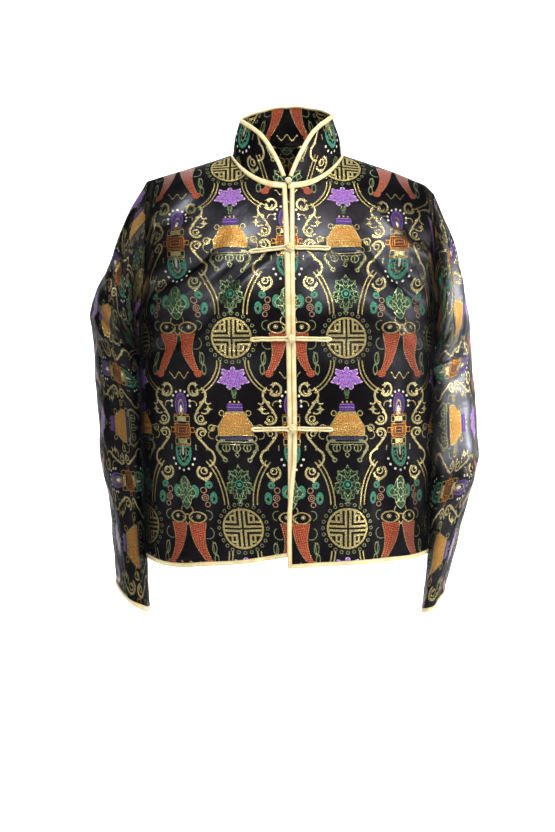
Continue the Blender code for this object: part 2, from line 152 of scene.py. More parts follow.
BODY = millimetres(
    # height, half width, front, back
    (-620, 213.6, 116.5, 112), (-450, 220, 119.5, 110), (-300, 225, 121.5, 108), (-255, 226.2, 122, 108),
    (-200, 229, 122, 108), (-150, 232, 121.5, 108), (40, 236, 120, 108)
)
SHOULDER = {
    "right": millimetres((82, 0), (120, -12.5), (170, -27.5), (213, -41)),
    "left": millimetres((82, 0), (120, -12.5), (165, -28), (195, -40.5), (213, -49), (223, -59)),
}
ARMHOLE = {
    "right": millimetres((-255, 226.2), (-200, 217), (-150, 213), (-100, 212), (-41, 213)),
    "left": millimetres((-255, 226.2), (-200, 221), (-150, 219), (-100, 220), (-59, 223)),
}
HEM = {
    "right": millimetres((0, -600), (55, -609), (110, -614), (185, -616.5), (215, -610)),
    "left": millimetres((0, -616.5), (90, -612), (148, -609.5), (180, -607.5), (215, -603)),
    "back_right": millimetres((0, -608.3), (55, -610), (110, -614), (185, -616.5), (215, -610)),
    "back_left": millimetres((0, -608.3), (90, -611), (148, -609.5), (180, -607.5), (215, -603)),
}
CLOSING = {
    "right": millimetres((-620, 7.5), (-418, 6.2), (-286, 4.5), (-151, 2.8), (-50, -1.6)),
    "left": millimetres((-620, 0.2), (-525, 1), (-495, 3.5), (-458, 7.2), (-418, 7.4), (-286, 5.7),
                        (-151, 4), (-100, 4), (-50, 4.4)),
}
# how far the cloth's pattern slips sideways on each front, by height
DRIFT = {
    "right": millimetres((-620, 24), (-480, 12), (-300, 2), (30, -4)),
    "left": millimetres((-620, -5), (-300, -3), (30, 2)),
}
LAP_LIFT = 0.0045
CLOSING_TOP = -0.052
NECK_SHARE = 0.42
ROWS_ABOVE = 78
ARMHOLE_CROWDING = 1.6
LOWEST_HEM = -0.6165


def through(table, at, column=1):
    """A smooth curve through one column of a table, against its first."""
    knots = table[:, 0]
    values = table[:, column]
    slopes = np.gradient(values, knots)
    at = np.clip(at, knots[0], knots[-1])
    low = np.clip(np.searchsorted(knots, at, side="right") - 1, 0, len(knots) - 2)
    span = knots[low + 1] - knots[low]
    s = (at - knots[low]) / span
    return ((1 + 2 * s) * (1 - s) ** 2 * values[low] + s * (1 - s) ** 2 * span * slopes[low]
            + s * s * (3 - 2 * s) * values[low + 1] + s * s * (s - 1) * span * slopes[low + 1])


def ease(value, start, end):
    s = np.clip((value - start) / (end - start), 0.0, 1.0)
    return s * s * (3 - 2 * s)


def ridge(x, face):
    """Height of the shoulder line, carried on across the neck."""
    reach = np.abs(x)
    inner = math.hypot(NECK_HALF_WIDTH, NECK_RIDGE_ROUND) - np.hypot(reach, NECK_RIDGE_ROUND)
    bowl = np.clip(1 - (reach / NECK_HALF_WIDTH) ** 2, 0.0, 1.0)
    inside = NECK_RIDGE_SLOPE * inner + (NAPE_RISE * bowl ** NAPE_POWER if face == "back" else 0.0)
    outside = np.where(x >= 0, through(SHOULDER["left"], reach), through(SHOULDER["right"], reach))
    return np.where(reach < NECK_HALF_WIDTH, inside, outside)


def plan_depth(x, z, face, least=0.0):
    """Half depth of the body's rounded plan at a height, before the shoulder rolls over."""
    full = through(BODY, z, 2 if face == "front" else 3)
    return full * np.clip(1 - (np.abs(x) / through(BODY, z)) ** ROUNDNESS, least, 1.0) ** (1 / ROUNDNESS)


def body_depth(x, z, face):
    """Distance of the cloth from the plane through both side seams."""
    down = np.clip((ridge(x, face) - z) / ROLL[face], 0.0, 1.0)
    return plan_depth(x, z, face) * (1 - (1 - down) ** ROLL_POWER) ** (1 / ROLL_POWER)


def body_point(x, z, face):
    out = body_depth(x, z, face) + SEAM_HALF
    return np.stack(np.broadcast_arrays(x, -out if face == "front" else out, z), axis=-1)


def neck_height(x, face, out=0.0):
    """Height at which the neck's oval, widened by out, meets the cloth."""
    reach = np.clip(np.abs(x) / (NECK_HALF_WIDTH + out), 0.0, 1.0)
    oval = (NECK_DEPTH[face] + out) * np.sqrt(1 - reach * reach)
    height = ridge(x, face)
    for _ in range(4):
        share = np.clip(oval / plan_depth(x, height, face, 1e-6), 0.0, 1.0)
        height = ridge(x, face) - ROLL[face] * (1 - (1 - share ** ROLL_POWER) ** (1 / ROLL_POWER))
    return height


GIRTH_SQUASH = 0.54
GIRTH_ANGLES = np.linspace(0.0, math.pi / 2, 400)
GIRTH_X = np.sin(GIRTH_ANGLES) ** (2 / ROUNDNESS)
GIRTH_Y = GIRTH_SQUASH * np.cos(GIRTH_ANGLES) ** (2 / ROUNDNESS)


def unit(ways):
    return ways / np.maximum(np.linalg.norm(ways, axis=-1, keepdims=True), 1e-12)


def run_of(points):
    """Length along a line of points, from its start to each."""
    return np.concatenate([[0.0], np.cumsum(np.linalg.norm(np.diff(points, axis=0), axis=1))])


GIRTH_ARC = run_of(np.stack([GIRTH_X, GIRTH_Y], axis=-1))


def girth_arc(x, half_width):
    """Length of cloth round the body from the middle out to x."""
    return half_width * np.interp(np.abs(x) / half_width, GIRTH_X, GIRTH_ARC)


def girth_x(arc, half_width):
    return half_width * np.interp(arc / half_width, GIRTH_ARC, GIRTH_X)


def panel(side, face, closing, columns, rows_below):
    """One half of the body as points [column][row], with its cloth chart in metres.

    The first columns of a front and the first rows above the hem are close together, under the binding.
    """
    sign = 1 if side == "left" else -1
    tip_x, tip_z = SHOULDER[side][-1]
    hem = HEM[side if face == "front" else "back_" + side]
    hem_side = hem[-1, 1]
    armpit = (ARMHOLE[side][0, 0] - hem_side) / (tip_z - hem_side)
    below = armpit * np.arange(rows_below) / rows_below
    above = armpit + (1 - armpit) * (1 - (1 - np.arange(ROWS_ABOVE + 1) / ROWS_ABOVE) ** ARMHOLE_CROWDING)
    share = np.concatenate([[0.0, 0.0, 0.0], below, above])
    bound = np.array([0.0, BINDING_WIDTH / 3, BINDING_WIDTH * 2 / 3])
    lift = np.concatenate([bound, np.full(len(below) + len(above), BINDING_WIDTH)])
    neck_x = NECK_HALF_WIDTH + PANEL_CLEAR
    spread = np.linspace(0.0, 1.0, columns)
    inset = np.zeros(columns)
    if closing is not None:
        spread = np.concatenate([[0.0, 0.0, 0.0], spread])
        inset = np.concatenate([bound, np.full(columns, BINDING_WIDTH)])

    def start_at(z):
        return inset[:, None] + (0.0 if closing is None else sign * through(closing, z))

    first = start_at(np.full((1, 1), CLOSING_TOP))[:, 0]
    turn = np.arcsin(np.clip(first / neck_x, -1, 1))
    in_neck = neck_x * np.sin(turn + (math.pi / 2 - turn) * np.clip(spread / NECK_SHARE, 0.0, 1.0))
    along = np.clip((spread - NECK_SHARE) / (1 - NECK_SHARE), 0.0, 1.0)
    top_x = np.where(spread < NECK_SHARE, in_neck, neck_x + (tip_x - neck_x) * along)
    top_z = np.where(top_x < neck_x - 1e-7, neck_height(sign * top_x, face, PANEL_CLEAR),
                     ridge(sign * top_x, face))
    edge_z = hem_side + (tip_z - hem_side) * share
    half_width = through(BODY, edge_z, 1)
    edge_x = np.where(edge_z <= ARMHOLE[side][0, 0], half_width, through(ARMHOLE[side], edge_z))
    blend = ease(edge_z, -0.36, tip_z - 0.02)[None, :]
    z = hem_side + (top_z[:, None] - hem_side) * share[None, :]
    for _ in range(4):
        start = start_at(z)
        begin = girth_arc(np.clip(start, 0, None), half_width[None, :])
        finish = girth_arc(edge_x, half_width)[None, :]
        x = girth_x(begin + (finish - begin) * spread[:, None], half_width[None, :])
        x = x + np.clip(start, None, 0) * (1 - spread[:, None])
        blended = (1 - blend) * x + blend * top_x[:, None]
        x = np.where(inset[:, None] < BINDING_WIDTH, start, blended) if closing is not None else blended
        hem_z = through(hem, np.abs(x)) + lift[None, :]
        z = hem_z + (top_z[:, None] - hem_z) * share[None, :]
    points = body_point(sign * x, z, face)
    step = 0.0015
    slope = (body_depth(sign * x, z + step, face) - body_depth(sign * x, z - step, face)) / (2 * step)
    stretch = np.sqrt(1 + np.clip(slope, -7, 7) ** 2)
    rises = (stretch[:, 1:] + stretch[:, :-1]) / 2 * np.diff(z, axis=1)
    climb = np.concatenate([np.zeros((len(z), 1)), np.cumsum(rises, axis=1)], axis=1)
    chart_v = z[:, :1] - LOWEST_HEM + climb
    arc = girth_arc(x, through(BODY, z, 1)) * np.sign(x)
    chart_u = sign * (arc + (through(DRIFT[side], z) if face == "front" else 0.0))
    return points, np.stack([chart_u, chart_v], axis=-1)


def facing_of(points, closed=False):
    """Outward normals of a grid of points."""
    if closed:
        ring = points[:-1]
        around = (np.roll(ring, -1, axis=0) - np.roll(ring, 1, axis=0)) / 2
        around = np.concatenate([around, around[:1]])
    else:
        around = np.gradient(points, axis=0)
    return unit(np.cross(around, np.gradient(points, axis=1)))


def crease_push(seen, folds):
    """How far soft folds push the cloth, each one along a line in the panel's own view."""
    push = np.zeros(seen.shape[:2])
    for start_x, start_z, end_x, end_z, height, width in np.array(folds) / 1000:
        start = np.array([start_x, start_z])
        line = np.array([end_x, end_z]) - start
        length = np.linalg.norm(line)
        way = line / length
        offset = seen - start
        along = (offset @ way) / length
        bent = width * 0.5 * np.sin(along * 5.0 + start_x * 40.0)
        aside = offset @ np.array([-way[1], way[0]]) + bent
        taper = np.sin(math.pi * np.clip(along * 0.92 + 0.04, 0.0, 1.0)) ** 0.8
        swell = np.exp(-(aside / width) ** 2) - 0.45 * np.exp(-((aside - 1.7 * width) / (1.2 * width)) ** 2)
        push += height * taper * swell
    return push


def ripples(seen, seed):
    """The slight unevenness of satin that hangs free."""
    x = seen[..., 0]
    z = seen[..., 1]
    return (0.0011 * np.sin(x * 47 + z * 21 + seed) * np.sin(z * 33 - x * 13 + 2 * seed)
            + 0.0006 * np.sin(x * 95 - z * 52 + 3 * seed) * np.sin(z * 71 + seed))


def draped(points, folds, seed, fade):
    """A panel with its folds and ripples, less of them where it is sewn."""
    seen = points[..., (0, 2)]
    points = points + facing_of(points) * (crease_push(seen, folds) * fade)[..., None]
    return points + facing_of(points) * (ripples(seen, seed) * fade)[..., None]


def bent_grid(points, chart, painted_sheen=0.0, painted_shade=0.0):
    """A grid bent to its points [across][along], charted in metres of cloth.

    The first value per point is painted sheen, how far the satin and its figures are lightened as if catching
    the light; the second is painted shade, how far its figures are darkened as if in shade.
    """
    columns, rows = points.shape[:2]
    work = bmesh.new()
    bmesh.ops.create_grid(work, x_segments=columns - 1, y_segments=rows - 1, size=1.0)
    layer = work.loops.layers.uv.new("cloth")
    sheen_layer = work.verts.layers.float.new("painted_sheen")
    shade_layer = work.verts.layers.float.new("painted_shade")
    places = points.transpose(1, 0, 2).reshape(-1, 3).tolist()
    charted = chart.transpose(1, 0, 2).reshape(-1, 2).tolist()
    sheen_amount = np.broadcast_to(painted_sheen, (columns, rows)).T.reshape(-1).tolist()
    shade_amount = np.broadcast_to(painted_shade, (columns, rows)).T.reshape(-1).tolist()
    for vert in work.verts:
        vert.co = places[vert.index]
        vert[sheen_layer] = sheen_amount[vert.index]
        vert[shade_layer] = shade_amount[vert.index]
    for face in work.faces:
        for corner in face.loops:
            corner[layer].uv = charted[corner.vert.index]
    return work


def cut_cloth(name, points, chart, thickness, finish, closed=False, painted_sheen=0.0, painted_shade=0.0):
    """A piece of cloth with its thickness; a closed one is joined along its first and last columns."""
    work = bent_grid(points, chart, painted_sheen, painted_shade)
    if closed:
        bmesh.ops.remove_doubles(work, verts=work.verts[:], dist=1e-6)
    piece = laid_out(name, work, finish)
    wall = piece.modifiers.new("cloth", "SOLIDIFY")
    wall.thickness = thickness
    wall.offset = 0.0
    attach(piece, "root")
    return piece


# folds in millimetres of the panel's own view: start x and z, end x and z, height, width
FRONT_FOLDS = {
    "right": (
        (-88, -128, -205, -222, -10.1, 11), (-80, -168, -196, -262, 7.8, 10),
        (-120, -70, -206, -118, -7, 13), (-20, -148, -112, -232, -4.7, 8),
        (-95, -235, -215, -318, -6.2, 12), (-155, -330, -175, -590, -7, 20),
        (-66, -430, -58, -620, 5.4, 20), (-110, -400, -120, -620, -4.7, 18),
        (-52, -284, -108, -300, -3.1, 6), (-50, -416, -104, -440, -3.1, 6),
        (-48, -152, -90, -140, -2.8, 5),
    ),
    "left": (
        (100, -132, 208, -232, -9.3, 11), (130, -98, 214, -170, 7, 11), (55, -142, 134, -206, -4.7, 8),
        (85, -215, 214, -300, 6.5, 12), (172, -300, 186, -560, -7, 16), (92, -400, 100, -620, 5.4, 20),
        (52, -452, 46, -620, -3.9, 16), (138, -420, 146, -620, -4.7, 16), (56, -284, 112, -306, -3.1, 6),
        (56, -414, 108, -400, -3.1, 6),
    ),
}


def dressed_front(side):
    points, chart = panel(side, "front", CLOSING[side], 92, 96)
    sign = 1 if side == "left" else -1
    closing_x = points[:1, :, 0]
    side_arc = girth_arc(points[-1:, :, 0], through(BODY, points[-1:, :, 2], 1))
    if side == "right":
        points = points[::-1]
        chart = chart[::-1]
    seen = points[..., (0, 2)]
    inner = ease(sign * (seen[..., 0] - closing_x), 0.004, 0.030)
    outer = 1 - ease(girth_arc(seen[..., 0], through(BODY, seen[..., 1], 1)) / side_arc, 0.90, 0.995)
    upper = 1 - ease(np.linspace(0, 1, points.shape[1]), 0.93, 0.995)[None, :]
    fade = inner * outer * upper
    points = draped(points, FRONT_FOLDS[side], sign, fade)
    if side == "left":
        lap = ease(-seen[..., 1], 0.424, 0.452) * (1 - ease(seen[..., 0], 0.014, 0.055))
        points[..., 1] -= LAP_LIFT * lap
    return points, chart


fronts = {side: dressed_front(side) for side in ("right", "left")}


def link(socket, value):
    """Gives a node's socket a thread, another node's output or a plain value."""
    value = getattr(value, "socket", value)
    if isinstance(value, bpy.types.NodeSocket):
        socket.id_data.links.new(value, socket)
    else:
        socket.default_value = value


def sums(operation):
    def done(thread, *others):
        return thread.sum(operation, *others)
    return done


class Thread:
    """A number that changes over the cloth; a sum on it is a node. Masks join with & and |."""

    def __init__(self, socket):
        self.socket = socket

    def sum(self, operation, *others):
        node = self.socket.id_data.nodes.new("ShaderNodeMath")
        node.operation = operation
        for socket, value in zip(node.inputs, (self, *others)):
            link(socket, value)
        return Thread(node.outputs[0])

    __add__ = sums("ADD")
    __sub__ = sums("SUBTRACT")
    __mul__ = sums("MULTIPLY")
    __and__ = sums("MULTIPLY")
    __or__ = sums("MAXIMUM")
    __lt__ = sums("LESS_THAN")
    __gt__ = sums("GREATER_THAN")
    near = sums("COMPARE")
    folded = sums("PINGPONG")
    atan = sums("ARCTAN2")

    def clamped(self):
        self.socket.node.use_clamp = True
        return self


class Loom:
    """Weaves figures one over another: each shape is a mask, placed in millimetres of cloth."""

    def __init__(self, tree, ground, at=None):
        self.tree = tree
        self.color = ground
        self.gold = None
        self.figure = None
        self.at = at

    def over(self, operation, *values):
        """A sum on places; a length, distance or product comes back as a thread."""
        node = self.tree.nodes.new("ShaderNodeVectorMath")
        node.operation = operation
        for socket, value in zip(node.inputs, values):
            link(socket, value)
        plain = operation in ("LENGTH", "DISTANCE", "DOT_PRODUCT")
        return Thread(node.outputs["Value"]) if plain else node.outputs["Vector"]

    def split(self, vector):
        node = self.tree.nodes.new("ShaderNodeSeparateXYZ")
        link(node.inputs[0], vector)
        return Thread(node.outputs[0]), Thread(node.outputs[1])

    def joined(self, x, y):
        node = self.tree.nodes.new("ShaderNodeCombineXYZ")
        link(node.inputs[0], x)
        link(node.inputs[1], y)
        return node.outputs[0]

    def length(self, x, y):
        return self.over("LENGTH", self.joined(x, y))

    def noise(self, place, scale, detail, distortion=0.0):
        node = self.tree.nodes.new("ShaderNodeTexNoise")
        for label, value in (("Vector", place), ("Scale", scale), ("Detail", detail),
                             ("Distortion", distortion)):
            link(node.inputs[label], value)
        return Thread(node.outputs["Fac"])

    def mixed(self, share, color, other):
        node = self.tree.nodes.new("ShaderNodeMix")
        node.data_type = "RGBA"
        for label, value in (("Factor", share), ("A", color), ("B", other)):
            link(node.inputs[label], value)
        return node.outputs["Result"]

    def disc(self, x, y, radius):
        return self.over("DISTANCE", self.at, (x, y, 0.0)) < radius

    def ring(self, x, y, radius, half):
        return self.over("DISTANCE", self.at, (x, y, 0.0)).near(radius, half)

    def scaled(self, x, y, wide, high):
        return self.over("MULTIPLY_ADD", self.at, (1 / wide, 1 / high, 0.0), (-x / wide, -y / high, 0.0))

    def drawn(self, reach, wide, high, half):
        """A whole figure, or only its outline where half the outline's width is given."""
        return reach.near(1.0, half / min(wide, high)) if half else reach < 1.0

    def oval(self, x, y, wide, high, half=None):
        return self.drawn(self.over("LENGTH", self.scaled(x, y, wide, high)), wide, high, half)

    def block(self, x, y, wide, high, half=None):
        across, down = self.split(self.over("ABSOLUTE", self.scaled(x, y, wide, high)))
        return self.drawn(across | down, wide, high, half)

    def side(self, way_x, way_y, limit):
        """The cloth past a line: where the way times the place is over the limit."""
        return self.over("DOT_PRODUCT", self.at, (way_x, way_y, 0.0)) > limit

    def stroke(self, x0, y0, x1, y1, half):
        """A straight woven line between two places."""
        length = math.hypot(x1 - x0, y1 - y0)
        way_x, way_y = (x1 - x0) / length, (y1 - y0) / length
        along = self.over("DOT_PRODUCT", self.at, (way_x, way_y, 0.0))
        aside = self.over("DOT_PRODUCT", self.at, (-way_y, way_x, 0.0))
        start = x0 * way_x + y0 * way_y
        return along.near(start + length / 2, length / 2) & aside.near(y0 * way_x - x0 * way_y, half)

    def arc(self, x, y, radius, side, half):
        """Part of a ring: what lies past the line (way_x, way_y, limit), measured from its middle."""
        way_x, way_y, limit = side
        return self.ring(x, y, radius, half) & self.side(way_x, way_y, limit + x * way_x + y * way_y)

    def star(self, x, y, size):
        """A four-pointed star with hollow sides."""
        across, down = self.split(self.over("ABSOLUTE", self.over("SUBTRACT", self.at, (x, y, 0.0))))
        return across.sum("SQRT") + down.sum("SQRT") < size

    def weave(self, color, *masks, gilt=False):
        whole = masks[0]
        for mask in masks[1:]:
            whole = whole | mask
        self.color = self.mixed(whole, self.color, color)
        self.figure = self.figure | whole if self.figure else whole
        if gilt:
            self.gold = self.gold | whole if self.gold else whole
        elif self.gold:
            self.gold = (self.gold - whole).clamped()
        return whole

    def gild(self, color, *masks):
        self.weave(color, *masks, gilt=True)

    def bare(self, *masks):
        """Ground cloth shows again inside a figure."""
        self.figure = (self.figure - self.weave(GROUND, *masks)).clamped()


GROUND = (0.0050, 0.0045, 0.0058, 1.0)
GOLD = (0.310, 0.255, 0.104, 1.0)
PALE_GOLD = (0.425, 0.360, 0.168, 1.0)
DARK_GOLD = (0.215, 0.215, 0.105, 1.0)
LILAC = (0.235, 0.105, 0.340, 1.0)
PLUM = (0.130, 0.062, 0.200, 1.0)
VIOLET = (0.060, 0.032, 0.140, 1.0)
MIDNIGHT = (0.040, 0.034, 0.060, 1.0)
AMBER = (0.400, 0.175, 0.034, 1.0)
CORAL = (0.370, 0.078, 0.034, 1.0)
DARK_CORAL = (0.085, 0.016, 0.010, 1.0)
COPPER = (0.300, 0.170, 0.100, 1.0)
RUST = (0.070, 0.020, 0.014, 1.0)
TEAL = (0.040, 0.165, 0.105, 1.0)
MOSS = (0.030, 0.065, 0.028, 1.0)
LEAF = (0.022, 0.060, 0.030, 1.0)
DARK_LEAF = (0.007, 0.014, 0.009, 1.0)
SAGE = (0.140, 0.165, 0.075, 1.0)
PALE_SAGE = (0.300, 0.340, 0.170, 1.0)
DARK_SAGE = (0.150, 0.160, 0.080, 1.0)
VEIN = (0.150, 0.200, 0.095, 1.0)
IVORY = (0.640, 0.620, 0.500, 1.0)
BONE = (0.300, 0.300, 0.220, 1.0)


def empty_group(name, entries, results):
    """A node group with named sockets, and the nodes at its two ends."""
    tree = bpy.data.node_groups.new(name, "ShaderNodeTree")
    for way, sockets in (("INPUT", entries), ("OUTPUT", results)):
        for label, kind in sockets.items():
            tree.interface.new_socket(label, in_out=way, socket_type="NodeSocket" + kind)
    return tree, tree.nodes.new("NodeGroupInput").outputs, tree.nodes.new("NodeGroupOutput").inputs


WOVEN = {"Color": "Color", "Gold": "Float", "Figure": "Float"}


def woven_group(draw):
    """One figure column of the brocade as a group: cloth under it in, cloth with it out."""
    entries = {"Across": "Float", "Down": "Float", "Cloth": "Color"}
    tree, entry, result = empty_group(draw.__name__, entries, WOVEN)
    loom = Loom(tree, entry["Cloth"])
    loom.at = loom.joined(entry["Across"], entry["Down"])
    draw(loom, Thread(entry["Across"]), Thread(entry["Down"]))
    link(result["Color"], loom.color)
    link(result["Gold"], loom.gold)
    link(result["Figure"], loom.figure)
    return tree


def roundel(loom, x, y):
    """A gold fret roundel in a ring of open beads; both its axes are mirror lines."""
    loom.at = loom.over("ABSOLUTE", loom.at)
    x, y = loom.split(loom.at)
    inner = x.sum("MINIMUM", y)
    bars = inner.near(3.1, 1.6) | inner.near(9.7, 1.6) & ((x | y) < 30)
    hooks = x.near(16.3, 1.5) & y.near(14.6, 5) | y.near(19.2, 1.4) & x.near(13.6, 2.4)
    loom.gild(GOLD, (bars | hooks) & loom.disc(0, 0, 27.6), loom.ring(0, 0, 28.4, 1.5))
    round_ring = (y.atan(x) * 35.5).sum("WRAP", 4.647, -4.647)
    bead = loom.length(round_ring, loom.over("LENGTH", loom.at) - 35.5)
    loom.gild(DARK_SAGE, bead.near(2.2, 0.55))


def ogee(loom, x, y):
    """Double gold lines that swing out past the lotus and back in to the palmette."""
    upper = loom.ring(12, 33, 47.6, 0.95) | loom.ring(12, 33, 52.8, 0.95)
    lower = loom.ring(-42.3, 245, 101.3, 1) | loom.ring(-42.3, 245, 107.1, 1)
    loom.gild(GOLD, upper & loom.side(0, 1, 33) & loom.side(0.62, -1, -58),
              lower & loom.side(0, -1, -243) & loom.side(0.6, 1, 202))


def lotus(loom, x, y):
    """A spiky lilac lotus, broader above than below, on a short stem."""
    y = y - 59
    angle = x.atan(y * -1)
    radius = loom.length(x * 0.74, y)
    spikes = (angle * 7).folded(math.pi)
    fine = (angle * 19).folded(math.pi)
    reach = spikes * -2.1 + fine * 0.5 + 17.4
    flower = radius < reach
    petals = (angle * 5).folded(math.pi) * 1.9 + 4.2
    loom.weave(MOSS, loom.disc(0, 80, 4.5))
    loom.weave(LILAC, flower)
    loom.weave(VIOLET, flower & (radius.near(petals, 0.5) | (spikes < 0.14) & radius.near(12.5, 4)))
    loom.weave(IVORY, flower & radius.near(reach - 1.1, 0.4) & (fine > 1.7))
    loom.gild(SAGE, loom.stroke(4, 73, 1.2, 84, 0.6), loom.ring(0, 86, 2, 0.5))


def vase(loom, x, y):
    """A lidded amber jar with scroll handles, standing in a footed basin."""
    flare = (y * 0.62 - 54.5 | 11.5).sum("MINIMUM", 25.5)
    body = (x < flare) & y.near(125, 17)
    leaf = loom.length(x.folded(4.4) - 2.2, (y - 118) * 0.30)
    loop = loom.length(x.folded(3.6) - 1.8, y - 131)
    loom.weave(AMBER, body)
    loom.gild(GOLD, x.near(flare, 0.9) & y.near(125, 17.5), loom.stroke(0, 108, 13, 108, 1),
              loom.stroke(0, 134, 25, 134, 0.6), loom.stroke(0, 142, 26, 142, 0.9),
              body & y.near(138.2, 2.4) & (x.folded(2.6) < 0.7),
              body & leaf.near(2.3, 0.26) & y.near(118, 9.5), body & loop.near(1.9, 0.30))
    loom.weave(VIOLET, loom.block(0, 101.5, 11.5, 4.6))
    loom.weave(LILAC, loom.stroke(0, 101, 11.5, 101, 0.5), loom.stroke(0, 96.4, 10.5, 96.4, 0.5))
    loom.gild(PALE_GOLD, loom.disc(0, 93, 1.5), loom.disc(6.4, 93.4, 1.4))
    loom.gild(GOLD, loom.ring(19.5, 109.5, 3.6, 0.7), loom.ring(35.5, 131, 4.4, 1.1),
              loom.ring(34.5, 132, 1.4, 0.8), loom.stroke(25, 129, 33, 127.5, 0.8),
              loom.arc(35, 141, 6, (1, 0.3, 0), 0.6))
    loom.weave(MIDNIGHT, loom.block(0, 146.5, 24, 2.2))
    foot = x.folded(7.6)
    loom.gild(DARK_GOLD, loom.length(foot, y - 160).near(5.2, 0.8) & (x < 23),
              loom.stroke(0, 151.5, 25, 151.5, 0.8), loom.arc(20, 158, 9, (0.9, -0.3, 0), 1.6),
              loom.stroke(28, 164, 20, 175, 1.6), loom.ring(18, 177.5, 2.6, 1.1),
              loom.arc(25, 146, 4.6, (0.9, 0.4, 0), 1), y.near(155, 0.5) & (x < 24),
              foot.near(0, 0.9) & y.near(160, 4), loom.stroke(0, 166, 3, 170, 0.7),
              loom.stroke(3, 170, 0, 174, 0.7))


def palmette(loom, x, y):
    """A dark green rosette of leaves, all in fine pale veins, on a small stalk."""
    y = y - 213
    angle = x.atan(y)
    radius = loom.length(x, y * 0.80)
    frills = (angle * 15).folded(math.pi)
    edge = (angle * 5).folded(math.pi) * -1.7 + frills * -1 + 21.5
    inside = radius < edge
    swirl = (angle * 8 + radius * 0.33).folded(math.pi)
    loom.weave(DARK_LEAF, inside)
    loom.gild(VEIN, radius.near(edge, 0.55), radius.near(edge * 0.62, 0.5) & inside,
              (swirl < 0.42) & inside & (radius > 5), (frills < 0.36) & inside & (radius > 11),
              loom.stroke(0, 184.5, 2.2, 189.5, 0.5), loom.stroke(0, 237, 4.5, 241, 0.5))
    loom.weave(TEAL, loom.disc(0, 213, 3), loom.ring(0, 213, 6, 0.6))


def fish(loom, x, y):
    """Half of a pair of coral carp, heads up and tails curling out, over a gilt wave."""
    down = y - 8 | 0
    aside = (x - (down * down * 0.0080 + 14.8)).sum("ABSOLUTE")
    girth = y * (y * 0.00095 - 0.190) + 11.8
    length = y.near(20.5, 27.5)
    tail = loom.oval(30.5, 51, 6.5, 6.5) & loom.side(-0.4, 1, 34)
    shape = (aside < girth) & length | tail
    scales = (y * 1.45 + x).sum("SINE") * (x * 1.45 - y).sum("SINE")
    loom.weave(CORAL, shape)
    loom.weave(DARK_CORAL, shape & (scales > 0.10))
    loom.gild(GOLD, aside.near(girth, 0.55) & length & (y.folded(1.5) < 0.95))
    loom.bare(loom.oval(16, -15, 12.5, 8))
    loom.gild(GOLD, loom.oval(16, -15, 12.5, 8, 0.9), loom.ring(18, -16, 2.6, 0.7),
              loom.arc(10, -13, 3.4, (-1, 0.2, 0), 0.6), loom.arc(4, -25, 6.5, (0.8, 0.6, 0), 0.8),
              loom.stroke(0, -4, 4, -9, 0.8))
    loom.weave(IVORY, loom.disc(18, -16, 1.1))
    wave = (x * 0.42).sum("COSINE") * -4.2 + 54.5
    loom.gild(GOLD, y.near(wave, 1.1) & (x < 15.5))
    loom.weave(SAGE, loom.oval(37.5, 30, 3.4, 8, 0.55), loom.oval(40, 46, 3, 7, 0.55),
               loom.stroke(35, 20, 38, 40, 0.5), loom.arc(30, 8, 8.5, (0.9, 0.4, 0), 0.6),
               loom.arc(31, -18, 7, (0.9, -0.2, 0), 0.6))


def lantern(loom, x, y):
    """A palace lantern: flame arch, fret body between gilt bars, and a hanging green flame."""
    arch = loom.oval(0, 99, 11, 19) & loom.side(0, -1, -111)
    loom.weave(VIOLET, arch)
    loom.weave(PLUM, loom.oval(0, 99, 10.2, 18, 0.6) & arch)
    loom.gild(GOLD, loom.oval(0, 102, 4.6, 11, 0.7), loom.block(0, 107, 3.6, 3.6))
    loom.weave(IVORY, loom.oval(0, 103.5, 2.4, 5))
    pearls = [(turn, 16.4, 96, -19) for turn in (90, 64, 38, 13, -10)]
    pearls += [(turn, 19, 174, 19.5) for turn in (90, 62, 34, 8)]
    loom.weave(IVORY, *(loom.disc(wide * math.cos(math.radians(turn)),
                                  middle + high * math.sin(math.radians(turn)), 1.75)
                        for turn, wide, middle, high in pearls))
    loom.weave(RUST, loom.block(0, 134.5, 15, 9))
    loom.gild(AMBER, loom.block(0, 134.5, 13.6, 8.4, 0.5), loom.block(0, 134.5, 7.6, 4.6, 0.5),
              loom.stroke(0, 134.5, 5, 134.5, 0.6), loom.stroke(10.6, 128, 10.6, 141, 0.5),
              loom.block(18, 134.5, 2.8, 3.4, 0.5), loom.stroke(7, 125, 14, 125, 0.6),
              *(loom.stroke(0, level, 14, level, 0.6) for level in (112, 157, 145)))
    loom.gild(PALE_GOLD, loom.block(0, 118.5, 7.4, 3.8), loom.block(0, 151, 7.4, 3.8))
    loom.gild(GOLD, loom.block(11, 118.5, 3, 4, 0.5), loom.block(11, 151, 3, 4, 0.5))
    loom.weave(TEAL, loom.oval(0, 166, 14.5, 22) & loom.side(0, 1, 158.5))
    loom.bare(loom.oval(0, 164, 11.4, 18.5) & loom.side(0, 1, 160.5))
    loom.weave(TEAL, loom.ring(7.4, 168, 3, 0.8), loom.arc(4.4, 176.5, 3.2, (0.4, 0.9, 0), 0.7))
    loom.weave(BONE, loom.oval(0, 164, 2, 7.5))
    loom.weave(SAGE, loom.oval(0, 166, 5.8, 11.5, 0.6))


